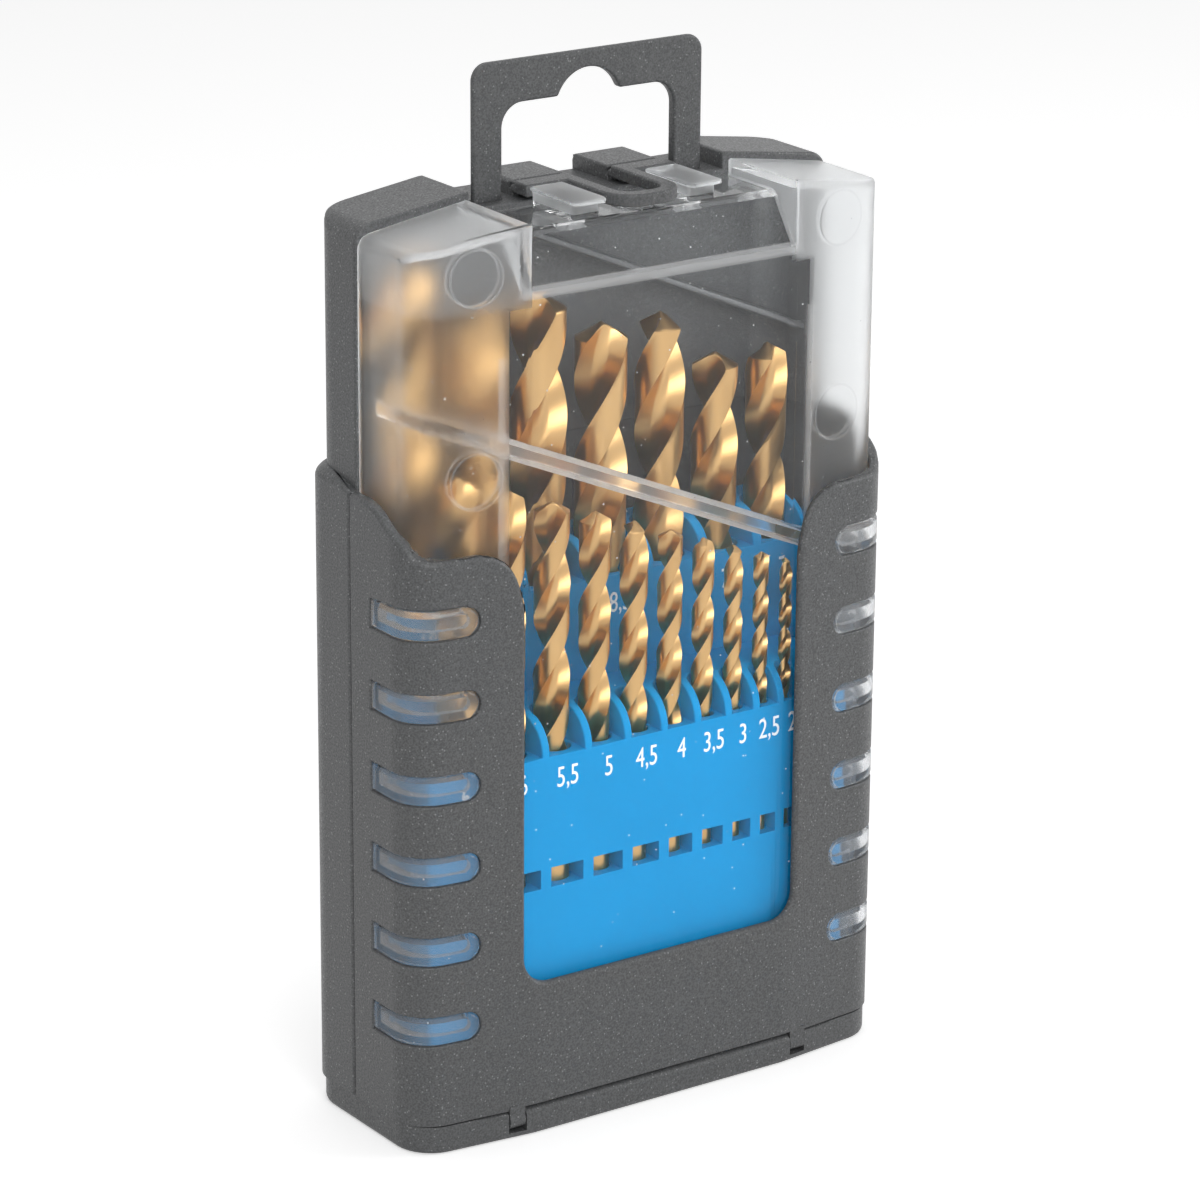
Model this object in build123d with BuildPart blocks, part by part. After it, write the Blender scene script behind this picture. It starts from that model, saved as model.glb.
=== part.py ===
from build123d import *
import math
import os

os.makedirs("parts", exist_ok=True)

# Hinged drill bit case, upright. Millimetres. X runs across, +Y is the back, +Z is up.
# Y = 0 is the parting plane between the back shell and the lid, Z = 0 is the standing face.
# The bits set the holder's width, the holder sets the case's, and the case carries the rest.

# Drill bits: diameter, whole length and flute length, in the order they stand from -X
FRONT_BITS = (
    (6.5, 101, 63), (6.0, 93, 57), (5.5, 93, 57), (5.0, 86, 52), (4.5, 80, 47), (4.0, 75, 43),
    (3.5, 70, 39), (3.0, 61, 33), (2.5, 57, 30), (2.0, 49, 24), (1.5, 40, 18), (1.0, 34, 12),
)
REAR_BITS = (
    (10.0, 133, 87), (9.5, 125, 81), (9.0, 125, 81), (8.5, 117, 75), (8.0, 117, 75),
    (7.5, 109, 69), (7.0, 109, 69),
)
FRONT_GAP = 2.4
REAR_GAP = 2.75
HELIX_ANGLE = 30.0
POINT_ANGLE = 118.0
FLUTE_SPAN = 0.82
FLUTE_OUT = 0.95
FLUTE_SIDE = 0.35
STEPS_PER_TURN = 8
REAR_SPAN = sum(bit[0] for bit in REAR_BITS) + REAR_GAP * (len(REAR_BITS) - 1)

# Walls and clearances
WALL = 1.5
PARTING_GAP = 0.15
FIT = 0.05
SLIDE_CLEAR = 0.15
CUT_PAST = 1.0

# Plan of the holder and the case round it
HOLDER_END_WALL = 1.4
HOLDER_SIDE_GAP = 2.6
HOLDER_FRONT_GAP = 1.5
HOLDER_BACK_GAP = 0.9
HOLDER_SPLIT_Y = -2.0
HOLDER_CORNER_R = 1.5
GRIP_SIDE_T = 1.5
GRIP_FRONT_T = 1.0
SLEEVE_BACK_T = 1.0
BASE_SIDE_STEP = 0.5
BASE_FRONT_STEP = 0.1
BASE_BACK_STEP = 0.3
LID_FRONT_Y = -18.0
SHELL_BACK_Y = 13.3
FACET_X = 24.0
FACET_TURN = 6.2
BEND_R = 14.0
CORNER_R = 6.5
HOLDER_HALF_W = REAR_SPAN / 2 + HOLDER_END_WALL
HOLDER_FRONT_Y = LID_FRONT_Y + WALL + HOLDER_FRONT_GAP
HOLDER_BACK_Y = SHELL_BACK_Y - WALL - HOLDER_BACK_GAP
CASE_HALF_W = HOLDER_HALF_W + HOLDER_SIDE_GAP + WALL
GRIP_HALF_W = CASE_HALF_W + GRIP_SIDE_T
GRIP_FRONT_Y = LID_FRONT_Y - GRIP_FRONT_T
SLEEVE_BACK_Y = SHELL_BACK_Y + SLEEVE_BACK_T
BASE_HALF_W = GRIP_HALF_W - BASE_SIDE_STEP
BASE_FRONT_Y = GRIP_FRONT_Y - BASE_FRONT_STEP
BASE_BACK_Y = SLEEVE_BACK_Y - BASE_BACK_STEP

# Base and the seam above it
BASE_H = 4.6
BASE_FLOOR = 1.6
BASE_LIP_T = 1.25
BASE_LIP_H = 2.4
BASE_LIP_FRONT_Y = 1.0
BASE_FRONT_WALL = 3.7
BASE_EDGE = 0.5
LID_LIFT = 0.2
SEAM_EXTRA = 0.3
BASE_LIP_TOP = BASE_H + BASE_LIP_H
BASE_POCKET_FRONT_Y = BASE_FRONT_Y + BASE_FRONT_WALL
LID_BOTTOM = BASE_H + LID_LIFT

# Case hinge
HINGE_DEPTH = 1.7
HINGE_DROP = 1.7
LUG_R = 1.5
LUG_W = 2.8
LUG_MIDDLE_X = 27.0
LUG_SIDE_GAP = 0.15
LUG_BACK_GAP = 0.8
PIN_R = 0.7
PIN_BITE = 1.6
PIN_CLEAR = 0.05
HINGE_RELIEF_X = 34.0
HINGE_Y = BASE_FRONT_Y + HINGE_DEPTH
HINGE_Z = BASE_H - HINGE_DROP
HINGE_R = LUG_R + 4 * FIT
LUG_IN_X = LUG_MIDDLE_X - LUG_W / 2
LUG_OUT_X = LUG_MIDDLE_X + LUG_W / 2
LUG_BACK_Y = BASE_POCKET_FRONT_Y - LUG_BACK_GAP
PIN_IN_X = LUG_IN_X - PIN_BITE
PIN_OUT_X = LUG_OUT_X + PIN_BITE

# Lid grip: wavy rim, window and bar slots. Rim points give their drop below the rim's line
RIM_SEAM_Z = 103.0
RIM_DROP = 7.2
RIM_SIDE = ((-3.2, 0.0), (-6.7, 0.7), (-10.8, 3.2), (-14.3, 5.6))
RIM_LEVEL_Y = -17.5
RIM_CREST_INSET = 7.5
RIM_DIP = ((7.4, 0.05), (5.8, 0.45), (3.9, 1.4), (1.9, 3.5), (0.6, 6.9))
RIM_BLEND = 10.8
RIM_FRONT_Z = RIM_SEAM_Z - RIM_DROP
WINDOW_HALF_W = 25.6
WINDOW_LOW_Z = 25.0
WINDOW_R = 4.5
BAR_COUNT = 6
BAR_TOP_DROP = 10.1
BAR_PITCH = 13.05
BAR_H = 4.5
BAR_REACH = 11.7
BAR_END_Y = -5.5
BAR_CLEAR = 0.1
BAR_WALL = 1.2
BAR_TOP_Z = RIM_FRONT_Z - BAR_TOP_DROP
BAR_TIP_X = GRIP_HALF_W - BAR_REACH

# Sleeve round the lower back shell
SLEEVE_RIM_RISE = 1.8
SLEEVE_RIM_LEVEL_Y = 7.0
SLEEVE_STEP = 3.0
RIM_CHAMFER = 1.3
SLEEVE_RIM_Z = RIM_SEAM_Z + SLEEVE_RIM_RISE
SLEEVE_INNER_TOP = SLEEVE_RIM_Z - SLEEVE_STEP

# Top of the back shell
SHELL_CREST_Z = 146.1
SHELL_TOP_R = 3.2
SHELL_TOP_SLOPE = 0.14
RECESS_SIDE_T = 0.7
RECESS_DEPTH = 2.6
BLOCK_IN_X = 4.0
BLOCK_OUT_X = 13.5
BLOCK_FRONT_Y = 3.5
BLOCK_H = 2.4
BLOCK_BACK_R = 1.2
RECESS_HALF_W = FACET_X - RECESS_SIDE_T
RECESS_FLOOR_Z = SHELL_CREST_Z - RECESS_DEPTH
BLOCK_TOP_Z = RECESS_FLOOR_Z + BLOCK_H

# Top of the lid, its catch tabs and its nub
LID_CREST_STEP = 0.9
LID_SHOULDER_SLOPE = 0.153
LID_TOP_R = 2.5
LEDGE_DEPTH = 2.4
LEDGE_RUN = 5.5
LEDGE_FALL = 8.0
LEDGE_CUT = 4.0
TAB_IN_X = 7.5
TAB_OUT_X = 13.7
TAB_BACK_Y = -1.3
TAB_LENGTH = 12.5
TAB_INSET = 0.6
TAB_OVERHANG = 1.7
TAB_R = 1.5
TAB_PLATE_H = 0.8
TAB_H = 3.2
NUB_BACK_Y = -8.0
NUB_LENGTH = 3.8
NUB_HALF_W = 2.2
NUB_H = 0.6
LID_CREST_Z = SHELL_CREST_Z - LID_CREST_STEP
LEDGE_Z = LID_CREST_Z - LEDGE_DEPTH
LEDGE_FRONT_Y = LID_FRONT_Y + LEDGE_RUN
TAB_FRONT_Y = TAB_BACK_Y - TAB_LENGTH
TAB_TOP_Z = LEDGE_Z + TAB_H

# Sloping ribs that keep the bits from rattling out
RIB_SLOPE = 0.427
LID_RIB_RISE = 6.53
LID_RIB_T = 2.4
LID_RIB_BACK_Y = -4.0
SHELL_RIB_DROP = 7.2
SHELL_RIB_X = -13.0
SHELL_RIB_T = 1.2
SHELL_RIB_FRONT_Y = 3.5

# Hanger
HANGER_SIDE_GAP = 2.3
HANGER_LEG_W = 5.2
HANGER_RISE = 21.1
HANGER_BAR_H = 6.7
HANGER_TUCK = 3.0
HANGER_FRONT_Y = 2.5
HANGER_T = 1.2
HANGER_RIM_T = 0.6
HANGER_RIM_W = 1.3
HANGER_OUT_R = 2.7
HANGER_IN_R = 3.7
HOOK_NOTCH_R = 6.0
HOOK_NOTCH_RISE = 3.9
FOOT_OUT = 1.0
FOOT_H = 1.3
HANGER_HALF_W = RECESS_HALF_W - HANGER_SIDE_GAP
HANGER_IN_X = HANGER_HALF_W - HANGER_LEG_W
HANGER_TOP_Z = RECESS_FLOOR_Z + HANGER_RISE
HANGER_BAR_Z = HANGER_TOP_Z - HANGER_BAR_H
HANGER_LEG_Z = RECESS_FLOOR_Z - HANGER_TUCK
HOOK_NOTCH_TOP_Z = HANGER_BAR_Z + HOOK_NOTCH_RISE

# Latch loop
LATCH_LIFT = 0.6
LATCH_T = 1.95
LATCH_WING_OUT = 0.3
LATCH_FRONT_Y = -15.1
LATCH_BEND = 2.5
LATCH_WING_FRONT_Y = -1.0
LATCH_WING_GAP = 0.75
LATCH_LEG_W = 2.3
LATCH_OUT_R = 5.0
LATCH_IN_R = 3.0
LATCH_BEAD_R = 0.65
LATCH_BEAD_CLEAR = 0.1
LATCH_AXIS_GAP = 0.5
LATCH_HALF_W = BLOCK_OUT_X + LATCH_WING_OUT
LATCH_BEND_Y = LATCH_FRONT_Y + LATCH_BEND
LATCH_WING_BACK_Y = BLOCK_FRONT_Y - LATCH_WING_GAP
LATCH_LEG_IN_X = BLOCK_IN_X
LATCH_LEG_OUT_X = LATCH_LEG_IN_X + LATCH_LEG_W
LATCH_LOW_Z = RECESS_FLOOR_Z + LATCH_LIFT
LATCH_TOP_Z = LATCH_LOW_Z + LATCH_T
LATCH_AXIS_Y = BLOCK_FRONT_Y - LATCH_AXIS_GAP
LATCH_AXIS_Z = LATCH_LOW_Z + LATCH_BEAD_R

# Tiers of the holder and where the bits stand in them
HOLDER_LIFT = 0.3
FRONT_TIER_H = 64.4
REAR_TIER_H = 85.8
TIER_R = 6.0
FRONT_NOTCH_H = 6.0
REAR_NOTCH_H = 5.6
NOTCH_EXTRA = 1.0
BORE_CLEAR = 0.1
FRONT_SKIN = 1.7
REAR_SKIN = 1.5
FRONT_TIP_H = 91.7
FRONT_TIP_SLOPE = 0.38
REAR_DEEP_FLOOR = 1.0
REAR_SHALLOW_FLOOR = 2.6
DEEP_FROM_D = 9.0
SHANK_WINDOW_DROP = 25.8
SHANK_WINDOW_H = 3.2
SHANK_WINDOW_EXTRA = 0.5
HOLDER_TOE_CHAMFER = 3.0
HOLDER_HEEL_CHAMFER = 1.5
HOLDER_LOW_Z = BASE_FLOOR + HOLDER_LIFT
FRONT_TIER_Z = HOLDER_LOW_Z + FRONT_TIER_H
REAR_TIER_Z = HOLDER_LOW_Z + REAR_TIER_H
FRONT_NOTCH_Z = FRONT_TIER_Z - FRONT_NOTCH_H
REAR_NOTCH_Z = REAR_TIER_Z - REAR_NOTCH_H
FRONT_TANGENT_Y = HOLDER_FRONT_Y + FRONT_SKIN
REAR_TANGENT_Y = HOLDER_SPLIT_Y + REAR_SKIN
FRONT_TIP_Z = HOLDER_LOW_Z + FRONT_TIP_H
SHANK_WINDOW_Z = FRONT_TIER_Z - SHANK_WINDOW_DROP

# Holder's pivot: trunnions in two ears of the base
PIVOT_DEPTH = 3.5
PIVOT_LIFT = 4.4
TRUNNION_R = 1.5
TRUNNION_CLEAR = 0.05
EAR_INSET = 2.4
EAR_T = 1.5
EAR_R = 2.6
EAR_GAP = 0.3
PIVOT_Y = HOLDER_FRONT_Y + PIVOT_DEPTH
PIVOT_Z = BASE_FLOOR + PIVOT_LIFT
EAR_IN_X = HOLDER_HALF_W - EAR_INSET


def facet_y(front_y, x):
    """Y of a front face at |x|: flat in the middle, turned back beyond the facet line."""
    return front_y + max(0.0, abs(x) - FACET_X) * math.tan(math.radians(FACET_TURN))


def cover_plan(half_w, front_y, back_y, corner_r):
    """Plan of a front cover: flat middle, two facets, rounded front corners, square back."""
    side_y = facet_y(front_y, half_w)
    with BuildSketch() as plan:
        with BuildLine():
            Polyline(
                (-half_w, back_y), (-half_w, side_y), (-FACET_X, front_y),
                (FACET_X, front_y), (half_w, side_y), (half_w, back_y), close=True,
            )
        make_face()
        corners = plan.vertices().filter_by_position(Axis.Y, side_y - 0.01, side_y + 0.01)
        fillet(corners, radius=corner_r)
        bends = plan.vertices().filter_by_position(Axis.Y, front_y - 0.01, front_y + 0.01)
        fillet(bends, radius=BEND_R)
    return plan.sketch


def shell_plan(half_w, back_y, front_y, corner_r):
    """Plan of a back shell: square front, rounded back corners."""
    with BuildSketch() as plan:
        with BuildLine():
            Polyline(
                (-half_w, front_y), (half_w, front_y), (half_w, back_y), (-half_w, back_y), close=True,
            )
        make_face()
        fillet(plan.vertices().group_by(Axis.Y)[-1], radius=corner_r)
    return plan.sketch


def shoulder_outline(crest_x, crest_z, slope, corner_r, inset):
    """Front outline with a level crest and falling shoulders, moved inward by the inset."""
    half_w = CASE_HALF_W - inset
    edge_z = crest_z - slope * (half_w - crest_x) - inset
    with BuildSketch(Plane.XZ) as outline:
        with BuildLine():
            Polyline(
                (-half_w, 0), (half_w, 0), (half_w, edge_z), (crest_x, crest_z - inset),
                (-crest_x, crest_z - inset), (-half_w, edge_z), close=True,
            )
        make_face()
        corners = outline.vertices().filter_by_position(Axis.Y, edge_z - 0.01, edge_z + 0.01)
        fillet(corners, radius=corner_r - inset / 2)
    return outline.sketch


def lid_recess_outline(grow):
    """Side outline of the stepped recess in the lid's top, grown by one wall for the inside."""
    slope = LEDGE_FALL / LEDGE_RUN
    reach_y = LID_FRONT_Y - LEDGE_CUT
    with BuildSketch(Plane.YZ) as outline:
        with BuildLine():
            Polyline(
                (-LID_FRONT_Y, LEDGE_Z), (LEDGE_FRONT_Y, LEDGE_Z),
                (reach_y, LEDGE_Z + slope * (reach_y - LEDGE_FRONT_Y)),
                (reach_y, HANGER_TOP_Z), (-LID_FRONT_Y, HANGER_TOP_Z), close=True,
            )
        make_face()
        if grow:
            offset(amount=grow, kind=Kind.INTERSECTION)
    return outline.sketch


def bar_outline(index, side, grow):
    """Front outline of one grip bar: rounded tip inside, running out past the case's side."""
    z = BAR_TOP_Z - BAR_PITCH * index
    tip = BAR_TIP_X - grow
    length = GRIP_HALF_W + BAR_H - tip
    with BuildSketch(Plane.XZ.offset(-BAR_END_Y - grow)) as outline:
        with Locations((side * (tip + length / 2), z)):
            SlotOverall(length, BAR_H + 2 * grow)
    return outline.sketch


def bar_bank(grow):
    """Solids that run forward from the outlines of all grip bars."""
    with BuildPart() as bank:
        for side in (-1, 1):
            for index in range(BAR_COUNT):
                extrude(to_extrude=bar_outline(index, side, grow), amount=-GRIP_FRONT_Y)
    return bank.part


def window_outline():
    """Front outline of the grip's window: square sides, rounded foot, wavy shoulders at the top."""
    dip = [(WINDOW_HALF_W + out, RIM_FRONT_Z - drop) for out, drop in reversed(RIM_DIP)]
    blend_z = RIM_FRONT_Z - RIM_BLEND
    crest_x = CASE_HALF_W - RIM_CREST_INSET
    top_z = RIM_SEAM_Z + CORNER_R
    with BuildSketch(Plane.XZ) as outline:
        with BuildLine():
            Line((0, WINDOW_LOW_Z), (WINDOW_HALF_W, WINDOW_LOW_Z))
            Line((WINDOW_HALF_W, WINDOW_LOW_Z), (WINDOW_HALF_W, blend_z))
            Spline((WINDOW_HALF_W, blend_z), *dip, (crest_x, RIM_FRONT_Z), tangents=((0, 1), (1, 0)))
            Line((crest_x, RIM_FRONT_Z), (crest_x, top_z))
            Line((crest_x, top_z), (0, top_z))
            Line((0, top_z), (0, WINDOW_LOW_Z))
        make_face()
        foot = outline.vertices().filter_by_position(Axis.Y, WINDOW_LOW_Z - 0.01, WINDOW_LOW_Z + 0.01)
        fillet(foot.sort_by(Axis.X)[-1], radius=WINDOW_R)
        mirror(about=Plane.YZ)
    return outline.sketch


def rib_solid(start_x, start_z, end_x, thickness):
    """Sloping rib across the case, given by its top line; trim it to the walls that carry it."""
    end_z = start_z - RIB_SLOPE * (end_x - start_x)
    with BuildPart() as rib:
        with BuildSketch(Plane.XZ):
            with BuildLine():
                Polyline(
                    (start_x, start_z), (end_x, end_z), (end_x, end_z - thickness),
                    (start_x, start_z - thickness), close=True,
                )
            make_face()
        extrude(amount=-GRIP_FRONT_Y, both=True)
    return rib.part


def hanger_opening(grow):
    """Opening between the hanger's legs, in the plane of its face, grown by a rim's width."""
    half_w = HANGER_IN_X + grow
    with BuildSketch() as opening:
        with Locations((0, HANGER_BAR_Z + grow)):
            Rectangle(2 * half_w, HANGER_BAR_Z + grow - HANGER_LEG_Z, align=(Align.CENTER, Align.MAX))
        fillet(opening.vertices().group_by(Axis.Y)[-1], radius=HANGER_IN_R + grow)
    return opening.sketch


def latch_slot():
    """Slot through the latch loop, open at the back and rounded at the front."""
    with BuildSketch() as slot:
        with Locations((0, LATCH_BEND_Y)):
            Rectangle(
                2 * LATCH_LEG_IN_X, BLOCK_FRONT_Y - LATCH_BEND_Y, align=(Align.CENTER, Align.MIN),
            )
        fillet(slot.vertices().group_by(Axis.Y)[0], radius=LATCH_IN_R)
    return slot.sketch


def front_of(limit_y):
    """Test that an edge lies wholly in front of the given Y."""
    return lambda edge: edge.bounding_box().max.Y < limit_y


def row_span(bits, gap):
    """Width of a row of bits with equal gaps between neighbours."""
    return sum(bit[0] for bit in bits) + gap * (len(bits) - 1)


def row_places(bits, gap):
    """X of each bit's axis in a row centred on the case."""
    places = []
    x = (bits[0][0] - row_span(bits, gap)) / 2
    for index, (diameter, _, _) in enumerate(bits):
        if index:
            x += bits[index - 1][0] / 2 + gap + diameter / 2
        places.append(x)
    return places


def front_row():
    """Each thin bit as diameter, length, flute length and the point its shank stands on."""
    row = []
    for (diameter, length, flute), x in zip(FRONT_BITS, row_places(FRONT_BITS, FRONT_GAP)):
        foot_z = FRONT_TIP_Z - FRONT_TIP_SLOPE * x - length
        row.append((diameter, length, flute, (x, FRONT_TANGENT_Y + diameter / 2, foot_z)))
    return row


def rear_row():
    """Each thick bit as diameter, length, flute length and the point its shank stands on."""
    row = []
    for (diameter, length, flute), x in zip(REAR_BITS, row_places(REAR_BITS, REAR_GAP)):
        floor = REAR_DEEP_FLOOR if diameter >= DEEP_FROM_D else REAR_SHALLOW_FLOOR
        foot_z = HOLDER_LOW_Z + floor
        row.append((diameter, length, flute, (x, REAR_TANGENT_Y + diameter / 2, foot_z)))
    return row


def notch_solid(row, notch_z, top_z, face_y):
    """U notches of a tier: each runs from the front face to just behind its bit."""
    with BuildPart() as notches:
        with BuildSketch(Plane.XY.offset(notch_z)):
            for diameter, _, _, (x, y, _) in row:
                width = diameter + NOTCH_EXTRA
                with Locations((x, y)):
                    Circle(width / 2)
                    Rectangle(width, y - face_y + TIER_R, align=(Align.CENTER, Align.MAX))
        extrude(amount=top_z - notch_z)
    return notches.part


def bore_solid(row, top_z):
    """Blind bores of a tier, each down to where its bit stands."""
    with BuildPart() as bores:
        for diameter, _, _, (x, y, foot_z) in row:
            with BuildSketch(Plane.XY.offset(foot_z)):
                with Locations((x, y)):
                    Circle(diameter / 2 + BORE_CLEAR)
            extrude(amount=top_z - foot_z)
    return bores.part


# Base: low tray with a lip inside the back shell, the lid's hinge notches and the holder's ears
with BuildPart() as base:
    with BuildSketch():
        add(cover_plan(BASE_HALF_W, BASE_FRONT_Y, 0, CORNER_R))
        add(shell_plan(BASE_HALF_W, BASE_BACK_Y, 0, CORNER_R))
    extrude(amount=BASE_H)
    chamfer(base.faces().sort_by(Axis.Z)[0].edges(), length=BASE_EDGE)
    lip_half_w = GRIP_HALF_W - WALL - FIT
    lip_back_y = SLEEVE_BACK_Y - WALL - FIT
    lip_r = CORNER_R - WALL
    with BuildSketch(Plane.XY.offset(BASE_H)):
        add(shell_plan(lip_half_w, lip_back_y, BASE_LIP_FRONT_Y, lip_r))
    extrude(amount=BASE_LIP_TOP - BASE_H)
    pocket_half_w = lip_half_w - BASE_LIP_T
    pocket_back_y = lip_back_y - BASE_LIP_T
    with BuildSketch(Plane.XY.offset(BASE_FLOOR)):
        add(cover_plan(pocket_half_w, BASE_POCKET_FRONT_Y, BASE_LIP_FRONT_Y, lip_r))
        add(shell_plan(pocket_half_w, pocket_back_y, 0, lip_r - BASE_LIP_T))
    extrude(amount=BASE_LIP_TOP, mode=Mode.SUBTRACT)
    with BuildSketch(Plane.YZ):
        with Locations((HINGE_Y, HINGE_Z)):
            Rectangle(2 * HINGE_R, 2 * HINGE_R, align=(Align.MAX, Align.MIN))
            Circle(HINGE_R, mode=Mode.SUBTRACT)
    extrude(amount=HINGE_RELIEF_X, both=True, mode=Mode.SUBTRACT)
    for side in (-1, 1):
        lug_slot_w = LUG_OUT_X - LUG_IN_X + 2 * LUG_SIDE_GAP
        lug_slot_depth = BASE_POCKET_FRONT_Y - BASE_FRONT_Y + 2 * WALL
        with BuildSketch(Plane.XY.offset(HINGE_Z - HINGE_R - SLIDE_CLEAR)):
            with Locations((side * (LUG_IN_X + LUG_OUT_X) / 2, BASE_POCKET_FRONT_Y + WALL)):
                Rectangle(lug_slot_w, lug_slot_depth, align=(Align.CENTER, Align.MAX))
        extrude(amount=BASE_H, mode=Mode.SUBTRACT)
        with BuildSketch(Plane(origin=(side * PIN_IN_X, HINGE_Y, HINGE_Z), z_dir=(side, 0, 0))):
            Circle(PIN_R)
        extrude(amount=PIN_OUT_X - PIN_IN_X, mode=Mode.SUBTRACT)
        ear_middle_x = side * (EAR_IN_X + EAR_T / 2)
        with BuildSketch(Plane.YZ.offset(ear_middle_x)):
            with Locations((PIVOT_Y, PIVOT_Z)):
                Circle(EAR_R)
                Rectangle(2 * EAR_R, PIVOT_Z - BASE_FLOOR / 2, align=(Align.CENTER, Align.MAX))
                Circle(TRUNNION_R + TRUNNION_CLEAR, mode=Mode.SUBTRACT)
        extrude(amount=EAR_T / 2, both=True)
base.part.label = "base"
export_step(base.part, "parts/base.step")


# Hinge pins: steel pins moulded into the front of the base
for side, name in ((-1, "hinge_pin_left"), (1, "hinge_pin_right")):
    with BuildPart() as pin:
        with BuildSketch(Plane(origin=(side * PIN_IN_X, HINGE_Y, HINGE_Z), z_dir=(side, 0, 0))):
            Circle(PIN_R)
        extrude(amount=PIN_OUT_X - PIN_IN_X)
    pin.part.label = name
    export_step(pin.part, f"parts/{name}.step")


# Back shell: upper case with the top recess and guide blocks, thicker sleeve below, inner rib
with BuildPart() as shell_core:
    with BuildSketch():
        add(shell_plan(CASE_HALF_W - WALL, SHELL_BACK_Y - WALL, -WALL, CORNER_R - WALL))
    extrude(amount=SHELL_CREST_Z)
    extrude(
        to_extrude=shoulder_outline(FACET_X, SHELL_CREST_Z, SHELL_TOP_SLOPE, SHELL_TOP_R, WALL),
        amount=SLEEVE_BACK_Y, both=True, mode=Mode.INTERSECT,
    )
    with Locations((0, 0, RECESS_FLOOR_Z - WALL)):
        Box(
            2 * (RECESS_HALF_W + WALL), 3 * SLEEVE_BACK_Y, HANGER_TOP_Z - RECESS_FLOOR_Z,
            align=(Align.CENTER, Align.CENTER, Align.MIN), mode=Mode.SUBTRACT,
        )
    with BuildSketch():
        add(shell_plan(GRIP_HALF_W - WALL, SLEEVE_BACK_Y - WALL, -WALL, CORNER_R - WALL))
    extrude(amount=SLEEVE_INNER_TOP)

with BuildPart() as shell_rib:
    with BuildSketch():
        add(
            shell_plan(
                CASE_HALF_W - WALL / 2, SHELL_BACK_Y - WALL / 2, SHELL_RIB_FRONT_Y, CORNER_R - WALL / 2,
            )
        )
    extrude(amount=SHELL_CREST_Z)
    add(rib_solid(SHELL_RIB_X, SHELL_CREST_Z - SHELL_RIB_DROP, CASE_HALF_W, SHELL_RIB_T), mode=Mode.INTERSECT)

with BuildPart() as sleeve:
    with BuildSketch(Plane.XY.offset(BASE_H)):
        add(shell_plan(GRIP_HALF_W, SLEEVE_BACK_Y, PARTING_GAP, CORNER_R))
    extrude(amount=SLEEVE_RIM_Z - BASE_H)
    chamfer(sleeve.faces().sort_by(Axis.Z)[-1].edges().sort_by(Axis.Y)[1:], length=RIM_CHAMFER)
    with BuildSketch(Plane.YZ):
        with BuildLine():
            Polyline(
                (0, RIM_SEAM_Z), (SLEEVE_RIM_LEVEL_Y, SLEEVE_RIM_Z), (0, SLEEVE_RIM_Z + CUT_PAST),
                close=True,
            )
        make_face()
    extrude(amount=GRIP_HALF_W, both=True, mode=Mode.SUBTRACT)

with BuildPart() as back_shell:
    with BuildSketch(Plane.XY.offset(BASE_H)):
        add(shell_plan(CASE_HALF_W, SHELL_BACK_Y, PARTING_GAP, CORNER_R))
    extrude(amount=SHELL_CREST_Z - BASE_H)
    extrude(
        to_extrude=shoulder_outline(FACET_X, SHELL_CREST_Z, SHELL_TOP_SLOPE, SHELL_TOP_R, 0),
        amount=SLEEVE_BACK_Y, both=True, mode=Mode.INTERSECT,
    )
    with Locations((0, 0, RECESS_FLOOR_Z)):
        Box(
            2 * RECESS_HALF_W, 3 * SLEEVE_BACK_Y, HANGER_TOP_Z - RECESS_FLOOR_Z,
            align=(Align.CENTER, Align.CENTER, Align.MIN), mode=Mode.SUBTRACT,
        )
    add(sleeve.part)
    add(shell_core.part, mode=Mode.SUBTRACT)
    add(shell_rib.part)
    leg_t = HANGER_T + HANGER_RIM_T
    for side in (-1, 1):
        block_x = side * (BLOCK_IN_X + BLOCK_OUT_X) / 2
        with BuildSketch(Plane.YZ.offset(block_x)) as block_side:
            with Locations((BLOCK_FRONT_Y, RECESS_FLOOR_Z - WALL / 2)):
                Rectangle(
                    SHELL_BACK_Y - BLOCK_FRONT_Y, BLOCK_TOP_Z - RECESS_FLOOR_Z + WALL / 2,
                    align=(Align.MIN, Align.MIN),
                )
            fillet(block_side.vertices().group_by(Axis.Y)[-1].sort_by(Axis.X)[-1], radius=BLOCK_BACK_R)
            with Locations((LATCH_AXIS_Y, LATCH_AXIS_Z)):
                Circle(LATCH_BEAD_R + LATCH_BEAD_CLEAR, mode=Mode.SUBTRACT)
        extrude(amount=(BLOCK_OUT_X - BLOCK_IN_X) / 2, both=True)
        slot_x = side * (HANGER_IN_X + HANGER_HALF_W) / 2
        with Locations((slot_x, HANGER_FRONT_Y + leg_t / 2, RECESS_FLOOR_Z)):
            Box(
                HANGER_HALF_W - HANGER_IN_X + 2 * SLIDE_CLEAR, leg_t + 2 * SLIDE_CLEAR, 3 * WALL,
                mode=Mode.SUBTRACT,
            )
back_shell.part.label = "back_shell"
export_step(back_shell.part, "parts/back_shell.step")


# Lid: clear cover with a stepped top, hollow side bars, catch tabs, a nub and a sloping inner rib
with BuildPart() as lid_core:
    with BuildSketch():
        add(cover_plan(CASE_HALF_W - WALL, LID_FRONT_Y + WALL, WALL, CORNER_R - WALL))
    extrude(amount=LID_CREST_Z)
    extrude(
        to_extrude=shoulder_outline(FACET_X, LID_CREST_Z, LID_SHOULDER_SLOPE, LID_TOP_R, WALL),
        amount=-GRIP_FRONT_Y, both=True, mode=Mode.INTERSECT,
    )
    extrude(to_extrude=lid_recess_outline(WALL), amount=FACET_X + WALL, both=True, mode=Mode.SUBTRACT)

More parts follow.
